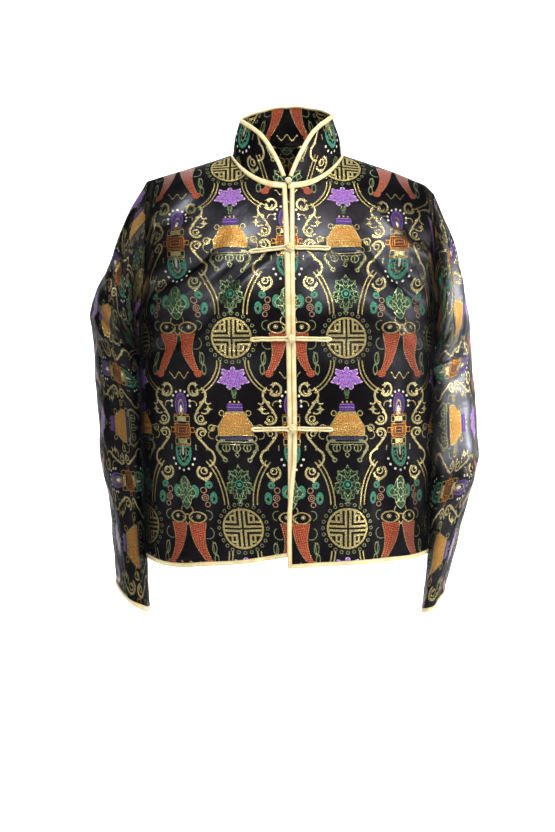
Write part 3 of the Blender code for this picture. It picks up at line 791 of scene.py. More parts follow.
def scrolls(loom, x, y):
    """Gilt scrollwork that winds down both sides of the lantern."""
    arcs = ((23, 75, 9, (-0.9, 0.4, -5), 1.6), (24.5, 77, 4.6, (0.3, 0.9, -2), 0.95),
            (29.5, 83.5, 11.3, (1, 0.15, 3.5), 1.6), (32.5, 116.5, 9.2, (-0.8, 0.6, -3), 1.6),
            (31.5, 139.5, 7.4, (-0.7, -0.7, -4.2), 1.6), (36, 174.5, 12.8, (1, 0, 3), 1.6),
            (31.5, 196, 9.4, (-0.5, 0.85, -4.5), 1.6), (38, 104, 6.4, (0.7, 0.7, 0), 1.05),
            (44.5, 92, 4.4, (-0.6, 0.8, 0), 1.05), (21, 98, 6, (0.2, -0.9, 0), 0.6))
    curls = ((32, 118, 4.2, 0.85), (33, 139.5, 3.4, 0.85), (31.5, 194, 4.4, 0.85))
    buds = ((27.5, 78, 2.2), (34.5, 119.5, 2), (34, 192.5, 2.2))
    sprigs = ((44, 104, 2.9), (25.5, 68.5, 2.5), (33, 207, 2.6))
    loom.gild(PALE_GOLD, *(loom.arc(*row) for row in arcs), *(loom.ring(*row) for row in curls),
              *(loom.disc(*row) for row in buds), *(loom.star(*row) for row in sprigs),
              loom.stroke(38.2, 91, 26, 108, 1.6), loom.stroke(26, 145.5, 40.5, 162.5, 1.6))


def blossom(loom, x, y):
    """A pale green flower with teal lobes and fine tendrils."""
    loom.weave(TEAL, loom.oval(15.5, 224, 6.6, 9.5), loom.disc(36.5, 214.5, 5.4),
               loom.oval(42.5, 233.5, 5.6, 9))
    loom.bare(loom.oval(13.6, 226, 2.4, 4.6), loom.disc(37.6, 215.4, 1.7), loom.oval(43, 235, 2, 3.8))
    loom.weave(SAGE, loom.arc(36.5, 214.5, 3, (1, 0.3, 0), 0.5), loom.arc(42.5, 235, 3.2, (1, 0, 0), 0.5))
    y = y - 226
    angle = x.atan(y * -1)
    radius = loom.length(x * 1.35, y)
    edge = (angle * 4).folded(math.pi) * -2.6 + 24
    inside = radius < edge
    barbs = (angle * 8 + radius * 0.2).folded(math.pi)
    loom.weave(LEAF, inside)
    loom.gild(PALE_SAGE, radius.near(edge, 0.6), radius.near(edge * 0.62, 0.55),
              radius.near(edge * 0.30, 0.6), (barbs < 0.5) & inside & (radius > 6))
    tendrils = ((28.5, 222, 4, 0.6), (30.5, 233, 4.6, 0.6), (33, 243, 3.4, 0.6), (30.5, 233, 2, 0.5))
    loom.weave(COPPER, *(loom.ring(*row) for row in tendrils))


REPEAT_HALF = 82.7
REPEAT_START = 58
FIGURES = (
    # figure, which mirror line it is drawn from, where its own repeat of 277 mm begins
    (ogee, "closing", -27), (roundel, "midway", -138.5), (lotus, "midway", -7), (vase, "midway", -7),
    (palmette, "midway", -27), (scrolls, "closing", -7), (fish, "closing", -77),
    (lantern, "closing", -7), (blossom, "closing", -17),
)
REPEAT_LONG = 277


def brocade_group():
    """The whole repeat: two mirrored columns of figures over a satin ground."""
    tree, entry, result = empty_group("figured_brocade", {"Chart": "Vector"}, WOVEN)
    loom = Loom(tree, GROUND)
    millimetres = loom.over("MULTIPLY", entry["Chart"], (1000.0, 1000.0, 1000.0))
    u, v = loom.split(millimetres)
    across = {"closing": u.folded(REPEAT_HALF)}
    across["midway"] = across["closing"] * -1.0 + REPEAT_HALF
    down = v * -1.0 + REPEAT_START
    for draw, mirror, low in FIGURES:
        figure = tree.nodes.new("ShaderNodeGroup")
        figure.node_tree = woven_group(draw)
        link(figure.inputs["Across"], across[mirror])
        link(figure.inputs["Down"], down.sum("WRAP", low + REPEAT_LONG, low))
        link(figure.inputs["Cloth"], loom.color)
        loom.color = figure.outputs["Color"]
        gold = Thread(figure.outputs["Gold"])
        woven = Thread(figure.outputs["Figure"])
        loom.gold = loom.gold | gold if loom.gold else gold
        loom.figure = loom.figure | woven if loom.figure else woven
    link(result["Color"], loom.color)
    link(result["Gold"], loom.gold)
    link(result["Figure"], loom.figure)
    return tree


def new_finish(name, group):
    """A material with the group in it, fed by the piece's own chart and its place."""
    finish = bpy.data.materials.new(name)
    finish.use_nodes = True
    tree = finish.node_tree
    chart = tree.nodes.new("ShaderNodeUVMap")
    chart.uv_map = "cloth"
    place = tree.nodes.new("ShaderNodeTexCoord").outputs["Object"]
    cloth = tree.nodes.new("ShaderNodeGroup")
    cloth.node_tree = group
    link(cloth.inputs["Chart"], chart.outputs["UV"])
    return finish, tree.nodes["Principled BSDF"].inputs, chart.outputs["UV"], place, cloth


def raised(shader, height, depth, strength):
    """Feeds a height into the shader's normal."""
    bump = shader["Normal"].id_data.nodes.new("ShaderNodeBump")
    bump.inputs["Distance"].default_value = depth
    bump.inputs["Strength"].default_value = strength
    link(bump.inputs["Height"], height)
    link(shader["Normal"], bump.outputs["Normal"])


# black satin with its figures woven in coloured and gilt weft; one attribute paints a sheen on it in cloudy
# patches, another paints shade on its figures
BODY_BROCADE, shader, chart, place, figured = new_finish("black_brocade", brocade_group())
loom = Loom(BODY_BROCADE.node_tree, GROUND)
gold = Thread(figured.outputs["Gold"])
figure = Thread(figured.outputs["Figure"])
grain = loom.noise(chart, 620.0, 2.0)
cloudy = loom.noise(place, 14.0, 3.0)
painted_light = {}
for label in ("painted_sheen", "painted_shade"):
    layer = BODY_BROCADE.node_tree.nodes.new("ShaderNodeAttribute")
    layer.attribute_name = label
    painted_light[label] = Thread(layer.outputs["Fac"])
# painted sheen: where the attribute asks, the satin is lightened in cloudy patches as if catching the light
sheen_share = (painted_light["painted_sheen"] * (cloudy * 2.2 - 0.25)).clamped()
shade = (grain * 3.6 - 0.95) * (cloudy * 0.9 + 0.55) | 0.25
# painted light on the figures: lighter under the painted sheen, darker under the painted shade
painted_figure_light = sheen_share * 0.9 + 1.0 + painted_light["painted_shade"] * -0.88
tinted = loom.tree.nodes.new("ShaderNodeVectorMath")
tinted.operation = "SCALE"
link(tinted.inputs[0], figured.outputs["Color"])
link(tinted.inputs["Scale"], shade * painted_figure_light)
BLACK_SATIN = (0.0085, 0.0074, 0.0086, 1.0)
# the grey-blue that the painted sheen lightens the black satin to
PAINTED_SHEEN_SATIN = (0.140, 0.143, 0.165, 1.0)
satin = loom.mixed(sheen_share, BLACK_SATIN, PAINTED_SHEEN_SATIN)
link(shader["Base Color"], loom.mixed(figure, satin, tinted.outputs["Vector"]))
link(shader["Metallic"], figure * -0.88 + 0.88 + gold * 0.80)
link(shader["Roughness"], cloudy * 0.16 + 0.27 - gold * (grain * 0.30 - 0.07))
shader["Sheen Weight"].default_value = 0.03
shader["Sheen Roughness"].default_value = 0.35
shader["Sheen Tint"].default_value = (0.42, 0.46, 0.62, 1.0)
shader["IOR"].default_value = 1.33
shader["Specular IOR Level"].default_value = 0.50
shader["Specular Tint"].default_value = (0.24, 0.25, 0.28, 1.0)
shader["Anisotropic"].default_value = 0.35
u, v = loom.split(chart)
twill = ((u + v * 0.5) * 9000.0).sum("SINE")
ribs = (v * 7000.0).sum("SINE")
crumple = loom.noise(place, 26.0, 3.0, 0.6)
threads = figure * 0.30 + twill * 0.05 + ribs * figure * 0.10 + grain * 0.25
raised(shader, threads + crumple * 4.5, 0.0006, 0.75)

# painted sheen on the chest: patches where the satin is lightened as if catching the key light, and painted
# highlights along the upper flank of each fold, fewer low down
PAINTED_SHEEN_PATCHES = (
    # x, z, half width, half height, how strong the painted sheen is
    (-0.059, -0.123, 0.022, 0.036, 0.504), (0.040, -0.157, 0.028, 0.040, 0.660),
    (0.141, -0.150, 0.024, 0.040, 0.504), (-0.136, -0.084, 0.038, 0.018, 0.288),
    (0.058, -0.217, 0.034, 0.017, 0.600), (-0.044, -0.191, 0.022, 0.020, 0.408),
    (-0.120, -0.215, 0.030, 0.014, 0.240), (0.120, -0.225, 0.030, 0.014, 0.240),
    (0.080, -0.300, 0.050, 0.020, 0.144), (-0.080, -0.320, 0.050, 0.020, 0.120),
)
FOLD_PAINTED_SHEEN = 42.0
FOLD_PAINTED_SHEEN_MOST = 0.010
FOLD_PAINTED_SHEEN_SHIFT = 0.007
LOWER_FOLDS_LESS = 0.8
SIDE_PAINTED_SHADE = 0.85
for side, (points, chart) in fronts.items():
    x, z = points[..., 0], points[..., 2]
    sheen_amount = sum(how_far * np.exp(-((x - at_x) / wide) ** 2 - ((z - at_z) / high) ** 2)
                   for at_x, at_z, wide, high, how_far in PAINTED_SHEEN_PATCHES)
    flank = np.abs(crease_push(np.stack([x, z - FOLD_PAINTED_SHEEN_SHIFT], axis=-1), FRONT_FOLDS[side]))
    higher = 1 - LOWER_FOLDS_LESS * ease(-z, 0.26, 0.40)
    sheen_amount = sheen_amount + FOLD_PAINTED_SHEEN * np.clip(flank, 0.0, FOLD_PAINTED_SHEEN_MOST) * higher
    # painted shade: the figures darken towards the side seams, where the body turns away from the light
    side_arc = girth_arc(x, through(BODY, z))
    shade_amount = ease(side_arc / side_arc.max(axis=0), 0.40, 0.95) * SIDE_PAINTED_SHADE
    front = cut_cloth(f"front_panel_{side}", points, chart, CLOTH, BODY_BROCADE, False, sheen_amount, shade_amount)
    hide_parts(f"front_{side}")

# ------------------------------------------------------------------ back
# One whole back panel of the same brocade, cut on the fold with no middle seam. It joins the
# fronts at the shoulders and sides, and hangs in long soft folds from the shoulder blades.
BACK_FOLDS = (
    (-110, -120, -206, -235, -6, 13), (-90, -180, -205, -285, 4.5, 12), (105, -130, 208, -240, -5.8, 13),
    (120, -200, 214, -300, 4.5, 12), (-60, -30, 60, -38, -2.5, 9), (-80, -70, 75, -82, 2.2, 12),
    (-150, -300, -168, -600, -5, 20), (-96, -260, -100, -610, 4.2, 22), (-40, -320, -30, -615, -4, 20),
    (34, -280, 38, -615, 3.8, 22), (98, -310, 104, -610, -4.8, 21), (160, -330, 176, -600, 3.5, 18),
)
BACK_SEED = 5


def dressed_back():
    right, right_chart = panel("right", "back", None, 84, 84)
    left, left_chart = panel("left", "back", None, 84, 84)
    points = np.concatenate([left[:0:-1], (right[:1] + left[:1]) / 2, right[1:]])
    chart = np.concatenate([left_chart[:0:-1], (right_chart[:1] + left_chart[:1]) / 2, right_chart[1:]])
    seen = points[..., (0, 2)]
    reach = girth_arc(seen[..., 0], through(BODY, seen[..., 1], 1))
    outer = 1 - ease(reach / np.where(seen[..., 0] < 0, reach[-1:], reach[:1]), 0.90, 0.995)
    upper = 1 - ease(np.linspace(0, 1, points.shape[1]), 0.93, 0.995)[None, :]
    fade = outer * upper
    return draped(points, BACK_FOLDS, BACK_SEED, fade), chart


back_points, back_chart = dressed_back()
back = cut_cloth("back_panel", back_points, back_chart, CLOTH, BODY_BROCADE)
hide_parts("back")

# ------------------------------------------------------------------ sleeves
# Long set-in sleeves, each one piece of brocade turned across the grain, closed by a seam under
# the arm and sewn into a nearly upright armhole. They crease at the armpit and at the elbow.
SLEEVE = {
    # millimetres: outer x and z, inner x and z, fore-and-aft half width; turn in degrees
    "right": (
        (213, -41, 226.2, -255, 55, 0), (239, -83, 226.7, -262, 62, 3), (262, -145, 226.5, -272, 68, 7),
        (290, -205, 225.2, -285, 72, 11), (302, -242, 224.1, -300, 73, 14),
        (297, -285, 221.3, -330, 72, 16), (293, -370, 218.8, -390, 70, 18),
        (288, -466, 217.2, -470, 68, 18), (273, -551, 215, -560, 64, 18), (263, -658, 207.4, -692, 62, 18),
    ),
    "left": (
        (223, -59, 226.2, -255, 55, 0), (239, -93, 226.7, -262, 62, 3), (252, -135, 226.5, -272, 67, 6),
        (266, -185, 226, -285, 70, 10), (278, -245, 225.4, -305, 71, 13), (287, -320, 222, -340, 70, 15),
        (293, -400, 219.6, -405, 68, 17), (296, -463, 217.2, -480, 67, 18),
        (268, -574, 212.8, -590, 63, 18), (243, -668, 204.4, -694, 56, 16),
    ),
}
# the same on a sleeve, by how far forward of its outer edge and how far down from the shoulder
SLEEVE_FOLDS = {
    "right": (
        (10, 205, 170, 250, -5, 11), (30, 245, 175, 225, 4, 10), (20, 165, 150, 215, -4.2, 12),
        (30, 290, 160, 262, -4, 11), (50, 70, 120, 200, -4.5, 14), (20, 60, 45, 170, 3.5, 13),
        (66, 270, 82, 650, -5.8, 16), (20, 400, 110, 440, 2.4, 12), (30, 520, 115, 490, -2.6, 12),
        (40, 570, 80, 650, 2, 12), (-10, 215, -150, 255, -4.8, 12), (-30, 260, -160, 240, 4, 11),
        (-30, 90, -110, 200, -4.2, 14), (-60, 330, -80, 540, -3.6, 15), (-30, 440, -110, 470, 2.4, 12),
    ),
    "left": (
        (10, 225, 165, 250, -4.6, 11), (20, 262, 170, 240, 3.8, 10), (20, 300, 160, 272, -3.8, 11),
        (40, 60, 110, 190, -4.8, 14), (12, 50, 50, 180, 3.8, 12), (60, 270, 84, 630, -5.6, 16),
        (0, 415, 125, 440, -4, 10), (10, 445, 120, 420, 3, 10), (30, 480, 120, 520, -2.6, 12),
        (40, 560, 75, 640, 2, 12), (-10, 215, -150, 250, -4.6, 12), (-30, 260, -160, 238, 3.8, 11),
        (-30, 80, -110, 190, -4, 14), (-55, 330, -85, 520, -3.4, 15),
    ),
}
ARMHOLE_GAP = 0.0010
ARMHOLE_HOLD = 1.6
SLEEVE_STATIONS = 138
# along the sleeve: start, share; round it: start, share
SLEEVE_CHART = {"right": (0.0576, 0.93, 0.034, 1.56), "left": (0.0983, 0.886, 0.034, 1.56)}


def dressed_sleeve(side):
    """Points [round][along] that begin and end under the arm, with their chart."""
    sign = 1 if side == "left" else -1
    front_edge = fronts[side][0][-1 if side == "left" else 0]
    back_edge = back_points[0 if side == "left" else -1]
    front_edge = front_edge[-1 - ROWS_ABOVE:]
    back_edge = back_edge[-1 - ROWS_ABOVE:]
    shared = (front_edge + back_edge) / 2
    loop = np.concatenate([shared[-1:], back_edge[-2:0:-1], shared[:1], front_edge[1:-1]])
    half = len(loop) // 2
    arc = np.concatenate([[0.0], np.cumsum(np.linalg.norm(np.roll(loop, -1, axis=0) - loop, axis=1))])
    angles = np.concatenate([arc[:half] / arc[half] * math.pi,
                             math.pi + (arc[half:-1] - arc[half]) / (arc[-1] - arc[half]) * math.pi])
    table = np.array(SLEEVE[side]) * ([0.001] * 5 + [1.0])
    last = len(table) - 1
    cuff_step = BINDING_WIDTH / np.linalg.norm(table[-1, :2] - table[-2, :2])
    stations = np.concatenate([np.linspace(0, last - cuff_step, SLEEVE_STATIONS),
                               last - cuff_step * np.array([2 / 3, 1 / 3, 0.0])])
    numbered = np.column_stack([np.arange(len(table), dtype=float), table])
    outer_x, outer_z, inner_x, inner_z, long_axis, degrees = [
        through(numbered, stations, column) for column in range(1, 7)]
    outer_x = 0.45 * outer_x + 0.55 * np.interp(stations, numbered[:, 0], numbered[:, 1])
    outer_z = 0.45 * outer_z + 0.55 * np.interp(stations, numbered[:, 0], numbered[:, 2])
    level = np.zeros_like(outer_x)
    outer = np.stack([sign * outer_x, level, outer_z], axis=-1)
    inner = np.stack([sign * inner_x, level, inner_z], axis=-1)
    turn = np.radians(degrees)
    width = np.linalg.norm(outer - inner, axis=1) / 2
    across = (outer - inner) / (2 * width)[:, None]
    short_axis = np.sqrt(width ** 2 - (long_axis * np.sin(turn)) ** 2) / np.cos(turn)
    angle = angles[:, None]
    reach = short_axis * np.cos(angle) * np.cos(turn) + long_axis * np.sin(angle) * np.sin(turn)
    rear = long_axis * np.sin(angle) * np.cos(turn) - short_axis * np.cos(angle) * np.sin(turn)
    oval = ((outer + inner) / 2)[None] + across[None] * reach[..., None]
    oval[..., 1] += rear
    start = (outer + inner)[0]
    moved = (loop + np.array([sign * ARMHOLE_GAP, 0.0, 0.0]))[:, None] + (((outer + inner) - start) / 2)[None]
    hold = (np.clip(1 - stations / ARMHOLE_HOLD, 0.0, 1.0) ** 1.5)[None, :, None]
    grid = hold * moved + (1 - hold) * oval
    grid = np.concatenate([grid[half:], grid[:half + 1]])
    tip = len(grid) - 1 - half
    down = run_of(outer)
    steps = np.linalg.norm(np.diff(grid, axis=0), axis=2)
    round_arc = np.concatenate([np.zeros((1, grid.shape[1])), np.cumsum(steps, axis=0)])
    forward = round_arc[tip] - round_arc
    start_along, share_along, start_round, share_round = SLEEVE_CHART[side]
    along = np.broadcast_to(down * share_along + start_along, forward.shape)
    chart = np.stack([along, start_round - forward * share_round], axis=-1)
    seen = np.stack([forward, np.broadcast_to(down, forward.shape)], axis=-1)
    order = slice(None, None, 1 if sign > 0 else -1)
    grid = grid[order, ::-1]
    chart = chart[order, ::-1]
    seen = seen[order, ::-1]
    edges = np.abs(seen[..., 0]) / np.abs(seen[..., 0]).max(axis=0, keepdims=True)
    fade = ease(seen[..., 1], 0.004, 0.045) * (1 - ease(edges, 0.78, 0.97))
    push = (crease_push(seen, SLEEVE_FOLDS[side]) + ripples(seen, 9 + sign) * 1.3) * fade
    grid = grid + facing_of(grid, closed=True) * push[..., None]
    grid[-1] = grid[0]
    return grid, chart, seen[..., 1], ease(edges, 0.62, 0.90)


sleeves = {side: dressed_sleeve(side) for side in ("right", "left")}
# painted sheen down the upper arm of the wearer's left sleeve, where it catches the side light, less under
# the arm; painted shade on the figures of both sleeves, deeper on the wearer's right sleeve and deepest under
# the arm
SLEEVE_PAINTED_SHEEN = {
    # down the sleeve, how strong the painted sheen is
    "right": ((0.0, 0.0), (0.2, 0.03), (0.66, 0.0)),
    "left": ((0.0, 0.10), (0.07, 0.80), (0.14, 1.50), (0.24, 1.25), (0.40, 1.05), (0.425, 0.12),
             (0.66, 0.09)),
}
SLEEVE_PAINTED_SHADE = {"right": 0.60, "left": 0.38}
UNDERARM_PAINTED_SHADE = 0.95
for side, (points, chart, down, under) in sleeves.items():
    sheen_amount = np.interp(down, *np.array(SLEEVE_PAINTED_SHEEN[side]).T) * (1 - under)
    shade_amount = SLEEVE_PAINTED_SHADE[side] + (UNDERARM_PAINTED_SHADE - SLEEVE_PAINTED_SHADE[side]) * under
    sleeve = cut_cloth(f"sleeve_{side}_set_in", points, chart, CLOTH, BODY_BROCADE, True, sheen_amount, shade_amount)
    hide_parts(f"sleeve_{side}")

# ------------------------------------------------------------------ collar
# A standing collar of brocade over canvas, faced with brocade, its ends cut away in a deep curve.
# It is stiffer than the body, so it leans in a little round the neck and hardly creases.
COLLAR_FOOT = -0.0032
HALF_GIRTH = 0.22
COLLAR_LEAN = 0.165
COLLAR_LEAN_HEIGHT = 0.060
COLLAR_TILT = 0.0030
COLLAR_START = 1.6
COLLAR_PLY = 0.0007
COLLAR_EDGE = np.array([(0.0, 0.0070), (8.0, 0.0330), (18.0, 0.0530), (31.0, 0.0665), (45.0, 0.0690),
                        (64.0, 0.0640), (88.0, 0.0585), (105.0, 0.0635), (125.0, 0.0680),
                        (150.0, 0.0640), (180.0, 0.0580)])


def neck_point(angle, out=0.0):
    """The neck seam at angles from centre front, positive to the wearer's left."""
    turn = np.radians(angle)
    x = (NECK_HALF_WIDTH + out) * np.sin(turn)
    front = np.abs(angle) <= 90
    oval = np.where(front, NECK_DEPTH["front"], NECK_DEPTH["back"]) + out
    height = np.where(front, neck_height(x, "front", out), neck_height(x, "back", out))
    return np.stack([x, -oval * np.cos(turn), height], axis=-1)


def collar_point(angle, height):
    foot = neck_point(angle)
    lean = COLLAR_LEAN * (np.clip(height, 0.0, None) / COLLAR_LEAN_HEIGHT) ** 1.6
    return np.stack([foot[..., 0] * (1 - lean), foot[..., 1] * (1 - lean), foot[..., 2] + height], axis=-1)


def collar_height(angle):
    height = through(COLLAR_EDGE, np.abs(angle))
    return height + COLLAR_TILT * np.sin(np.radians(angle)) * height / COLLAR_LEAN_HEIGHT


def collar_turns(count):
    """Angles once round the collar, closer together towards its front ends."""
    share = np.linspace(0.0, 1.0, count)
    half = COLLAR_START + (180 - COLLAR_START) * (0.35 * share + 0.65 * share ** 2)
    return np.concatenate([half, -half[-2::-1]])


turns = collar_turns(120)
share = np.linspace(0.0, 1.0, 30)[None, :]
top = collar_height(turns)[:, None]
heights = COLLAR_FOOT + (top - COLLAR_FOOT) * share
collar_points = collar_point(np.broadcast_to(turns[:, None], heights.shape), heights)
give = np.sin(math.pi * share) * (0.0011 * np.sin(np.radians(turns[:, None]) * 5 + heights * 60)
                                  + 0.0007 * np.sin(np.radians(turns[:, None]) * 11 - heights * 90))
collar_facing = facing_of(collar_points)
girth = np.sign(turns) * (180 - np.abs(turns)) / 180 * HALF_GIRTH
girth = np.broadcast_to(girth[:, None], heights.shape)
for name, out, foot, share_round in (("standing_collar", 0.00040, -0.154, 1.15),
                                     ("collar_facing", -0.00045, -0.008, 1.04)):
    layer_points = collar_points + collar_facing * (give + out)[..., None]
    layer_chart = np.stack([girth * share_round, heights + foot], axis=-1)
    layer = cut_cloth(name, layer_points, layer_chart, COLLAR_PLY, BODY_BROCADE)
    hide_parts("collar")

# ------------------------------------------------------------------ underlap
# A narrow strip of brocade sewn behind the closing edge, so that no gap shows between the fronts.
# It lies flat against the inside of the closing, from below the collar nearly to the hem.
UNDERLAP_DEPTH = 0.0032


def on_front(x, z, out):
    """Points over the closed fronts, out from the cloth."""
    step = 0.002
    here = body_point(x, z, "front")
    across = body_point(x + step, z, "front") - here
    up = body_point(x, z + step, "front") - here
    return here + unit(np.cross(across, up)) * np.asarray(out)[..., None]


lap_x, lap_z = np.meshgrid(np.linspace(-0.0150, 0.0220, 11), np.linspace(-0.592, -0.064, 110),
                           indexing="ij")
lap_points = on_front(lap_x, lap_z, np.full(lap_x.shape, -UNDERLAP_DEPTH))
lap_points[..., 1] += 0.0004 * np.sin(lap_z * 60 + lap_x * 80)
lap_chart = np.stack([lap_x, lap_z + 0.64], axis=-1)
underlap = cut_cloth("closing_underlap", lap_points, lap_chart, CLOTH, BODY_BROCADE)
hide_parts("underlap")

# ------------------------------------------------------------------ bindings
# Bias strips of cream satin, folded over every raw edge of fronts, hem, cuffs and collar and
# stitched down close to their inner fold. Cut on the bias, they take the curves with small puckers.
BINDING_FOLD = millimetres(
    # along the cloth from its edge, out from mid cloth
    (6, 1), (5.9, 1.4), (5.2, 1.8), (4, 2), (2.4, 2), (1.1, 1.8), (0.2, 1.4), (-0.3, 0.6), (-0.3, -0.5),
    (0.1, -1.2), (1.4, -1.3), (3, -1.2)
)
BINDING_PLY = 0.0004
FOLD_CHART_TOP = 0.0071
CREAM = (0.600, 0.510, 0.285, 1.0)
SOILED = (0.500, 0.395, 0.180, 1.0)
STITCH = (0.520, 0.380, 0.150, 1.0)
# colour of the painted shade on the binding strips
PAINTED_EDGE_SHADE = (0.400, 0.310, 0.140, 1.0)


def satin_group():
    """Cream bias satin: a soft soiled shade, a fine diagonal grain and small puckers along the strip."""
    tree, entry, result = empty_group(
        "bias_satin", {"Chart": "Vector", "Place": "Vector", "Pucker Width": "Float"},
        {"Color": "Color", "Roughness": "Float", "Height": "Float"})
    loom = Loom(tree, CREAM)
    along, across = loom.split(entry["Chart"])
    pucker = loom.noise(loom.joined(along, across * Thread(entry["Pucker Width"])), 230.0, 2.0)
    soil = loom.noise(entry["Place"], 55.0, 3.0)
    loom.weave(SOILED, ((soil - 0.42) * (1 / 0.24)).clamped())
    link(result["Color"], loom.color)
    link(result["Roughness"], soil * 0.18 + 0.30)
    link(result["Height"], ((along + across) * 6500.0).sum("SINE") * 0.05 + pucker)
    return tree


BIAS_SATIN = satin_group()


def satin_finish(name, pucker_width):
    """A cream satin; returned with its shader, its chart, its group and the height of its threads."""
    finish, shader, chart, place, satin = new_finish(name, BIAS_SATIN)
    link(satin.inputs["Place"], place)
    satin.inputs["Pucker Width"].default_value = pucker_width
    link(shader["Base Color"], satin.outputs["Color"])
    link(shader["Roughness"], satin.outputs["Roughness"])
    shader["Sheen Weight"].default_value = 0.15
    shader["Sheen Roughness"].default_value = 0.4
    shader["Specular IOR Level"].default_value = 0.5
    return finish, shader, chart, satin.outputs["Color"], Thread(satin.outputs["Height"])


BOUND_SATIN, shader, chart, color, height = satin_finish("cream_bias_satin", 0.35)
loom = Loom(BOUND_SATIN.node_tree, color)
along, across = loom.split(chart)
stitch_line = across.near(0.0060, 0.00022)
loom.weave(STITCH, (along.folded(0.0011) < 0.00075) & stitch_line)
# painted shade: the strip is darker near its stitched edge and round its fold than on its raised middle
loom.weave(PAINTED_EDGE_SHADE, across.near(0.0035, 0.0022) * -0.45 + 0.45)
link(shader["Base Color"], loom.color)
raised(shader, height - stitch_line * 0.5, 0.0004, 0.9)


def fold_over(name, node, lines, facing, closed=False, mitre=None):
    """A strip folded over an edge. Lines are the cloth at 0, 2.5, 5 and 7.5 mm from its edge."""
    step = BINDING_WIDTH / 3
    run = run_of(lines[0])
    rows = []
    chart = []
    girth = 0.0
    for reach, out in BINDING_FOLD:
        place = np.clip(reach / step, 0.0, 2.999)
        low = int(place)
        on_cloth = lines[low] + (lines[low + 1] - lines[low]) * (place - low)
        if reach < 0:
            on_cloth = on_cloth + unit(lines[1] - lines[0]) * reach
        wave = 0.00016 * np.sin(run * 410 + out * 900) * np.sin(run * 173) + 0.0001 * np.sin(run * 97)
        row = on_cloth + facing * (out + wave * (out > 0.001))[:, None]
        if mitre is not None:
            start, toward = mitre
            row[0] = start + toward * max(reach, 0.0) + facing[0] * out
        if rows:
            girth += float(np.linalg.norm(row - rows[-1], axis=1).mean())
        rows.append(row)
        chart.append(np.stack([run, np.full(len(run), FOLD_CHART_TOP - girth)], axis=-1))
    points = np.array(rows)
    chart = np.array(chart)
    if closed:
        points = points.transpose(1, 0, 2)
        chart = chart.transpose(1, 0, 2)
        points[-1] = points[0]
    strip = cut_cloth(name, points, chart, BINDING_PLY, BOUND_SATIN, closed)
    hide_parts(node)


for side, (points, _) in fronts.items():
    facing = facing_of(points)
    if side == "right":
        points = points[::-1]
        facing = facing[::-1]
    corner = points[0, 0]
    mitre = (corner, (points[3, 3] - corner) / BINDING_WIDTH)
    fold_over(f"closing_binding_{side}", f"binding_front_{side}", points[:4, 2:], facing[0, 2:],
              mitre=mitre)
    fold_over(f"hem_binding_{side}", f"binding_hem_{side}", points[2:, :4].transpose(1, 0, 2),
              facing[2:, 0], mitre=mitre)

fold_over("hem_binding_back", "binding_hem_back", back_points[:, :4].transpose(1, 0, 2),
          facing_of(back_points)[:, 0])

for side, (points, *_) in sleeves.items():
    fold_over(f"cuff_binding_{side}", f"binding_cuff_{side}", points[:, :4].transpose(1, 0, 2),
              facing_of(points, closed=True)[:, 0], closed=True)

edge_turns = collar_turns(190)
edge = collar_point(edge_turns, collar_height(edge_turns))
down = collar_point(edge_turns, collar_height(edge_turns) - 0.004) - edge
run = np.gradient(edge, axis=0)
edge_facing = unit(np.cross(run, -down))
inward = unit(np.cross(run, edge_facing))
inward *= np.sign(np.sum(inward * down, axis=1, keepdims=True))
edge_lines = np.array([edge + inward * (BINDING_WIDTH / 3 * step) for step in range(4)])
fold_over("collar_binding", "binding_collar", edge_lines, edge_facing)

# the neck seam is covered by a flattened roll of the same bias satin
ring_turns = np.linspace(COLLAR_START - 1.0, 361.0 - COLLAR_START, 260)
ring_turns = np.where(ring_turns > 180, ring_turns - 360, ring_turns)
seam = neck_point(ring_turns)
run = unit(np.gradient(seam, axis=0))
level = unit(np.cross(run, (0.0, 0.0, 1.0)))
level *= np.sign(np.sum(level * (seam * (1.0, 1.0, 0.0)), axis=1, keepdims=True))
panel_side = neck_point(ring_turns, 0.0046) + level * 0.0001 + (0.0, 0.0, 0.0010)
collar_side = collar_point(ring_turns, np.full(len(ring_turns), 0.0016)) + level * 0.0026
half_wide = np.linalg.norm(collar_side - panel_side, axis=1) / 2
climb = unit(collar_side - panel_side)
outward = unit(np.cross(run, climb))
outward *= np.sign(np.sum(outward * level, axis=1, keepdims=True))
middle = (panel_side + collar_side) / 2
length = run_of(seam)
rows = []
for turn in np.linspace(0, 2 * math.pi, 21):
    swell = 1 + 0.06 * np.sin(length * 330 + 2 * turn) * np.sin(length * 150)
    rows.append(middle + climb * (half_wide * math.cos(turn) * swell)[:, None]
                + outward * (0.0002 + 0.0015 * math.sin(turn) * swell)[:, None])
rows = np.array(rows)
rows[-1] = rows[0]
strip_chart = np.stack(np.broadcast_arrays(length[None, :], np.linspace(0, 0.013, 21)[:, None]), axis=-1)
piping = cut_cloth("neck_seam_roll", rows, strip_chart, BINDING_PLY, BOUND_SATIN, True)
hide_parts("piping_neck")

# ------------------------------------------------------------------ fastenings
# Frogs of cream satin rouleau: a narrow bias tube turned right side out, doubled and sewn down on
# each front. A button is the same tube worked into a woven ball knot, on the wearer's left front,
# and the leg on the right front ends in a loop that goes round it.
CORD_RADIUS = 0.0016
CORD_SPREAD = 0.0018
FROG_LENGTH = 0.050
FROG_START = 0.0072
FRONT_SURFACE = 0.0024
CORD_SIDES = 12
BALL_CORE = 0.0037
BALL_CORD = 0.00135
BALL_HEIGHT = 0.0050
CORD_WOBBLE = 0.00022
ENDS_PINCHED = 0.0003
LEG_DROOP = 0.001
TOP_LOOP_DROOP = 0.006
CORD_SATIN, shader, chart, color, height = satin_finish("cream_rouleau", 0.6)
raised(shader, height, 0.0004, 0.9)


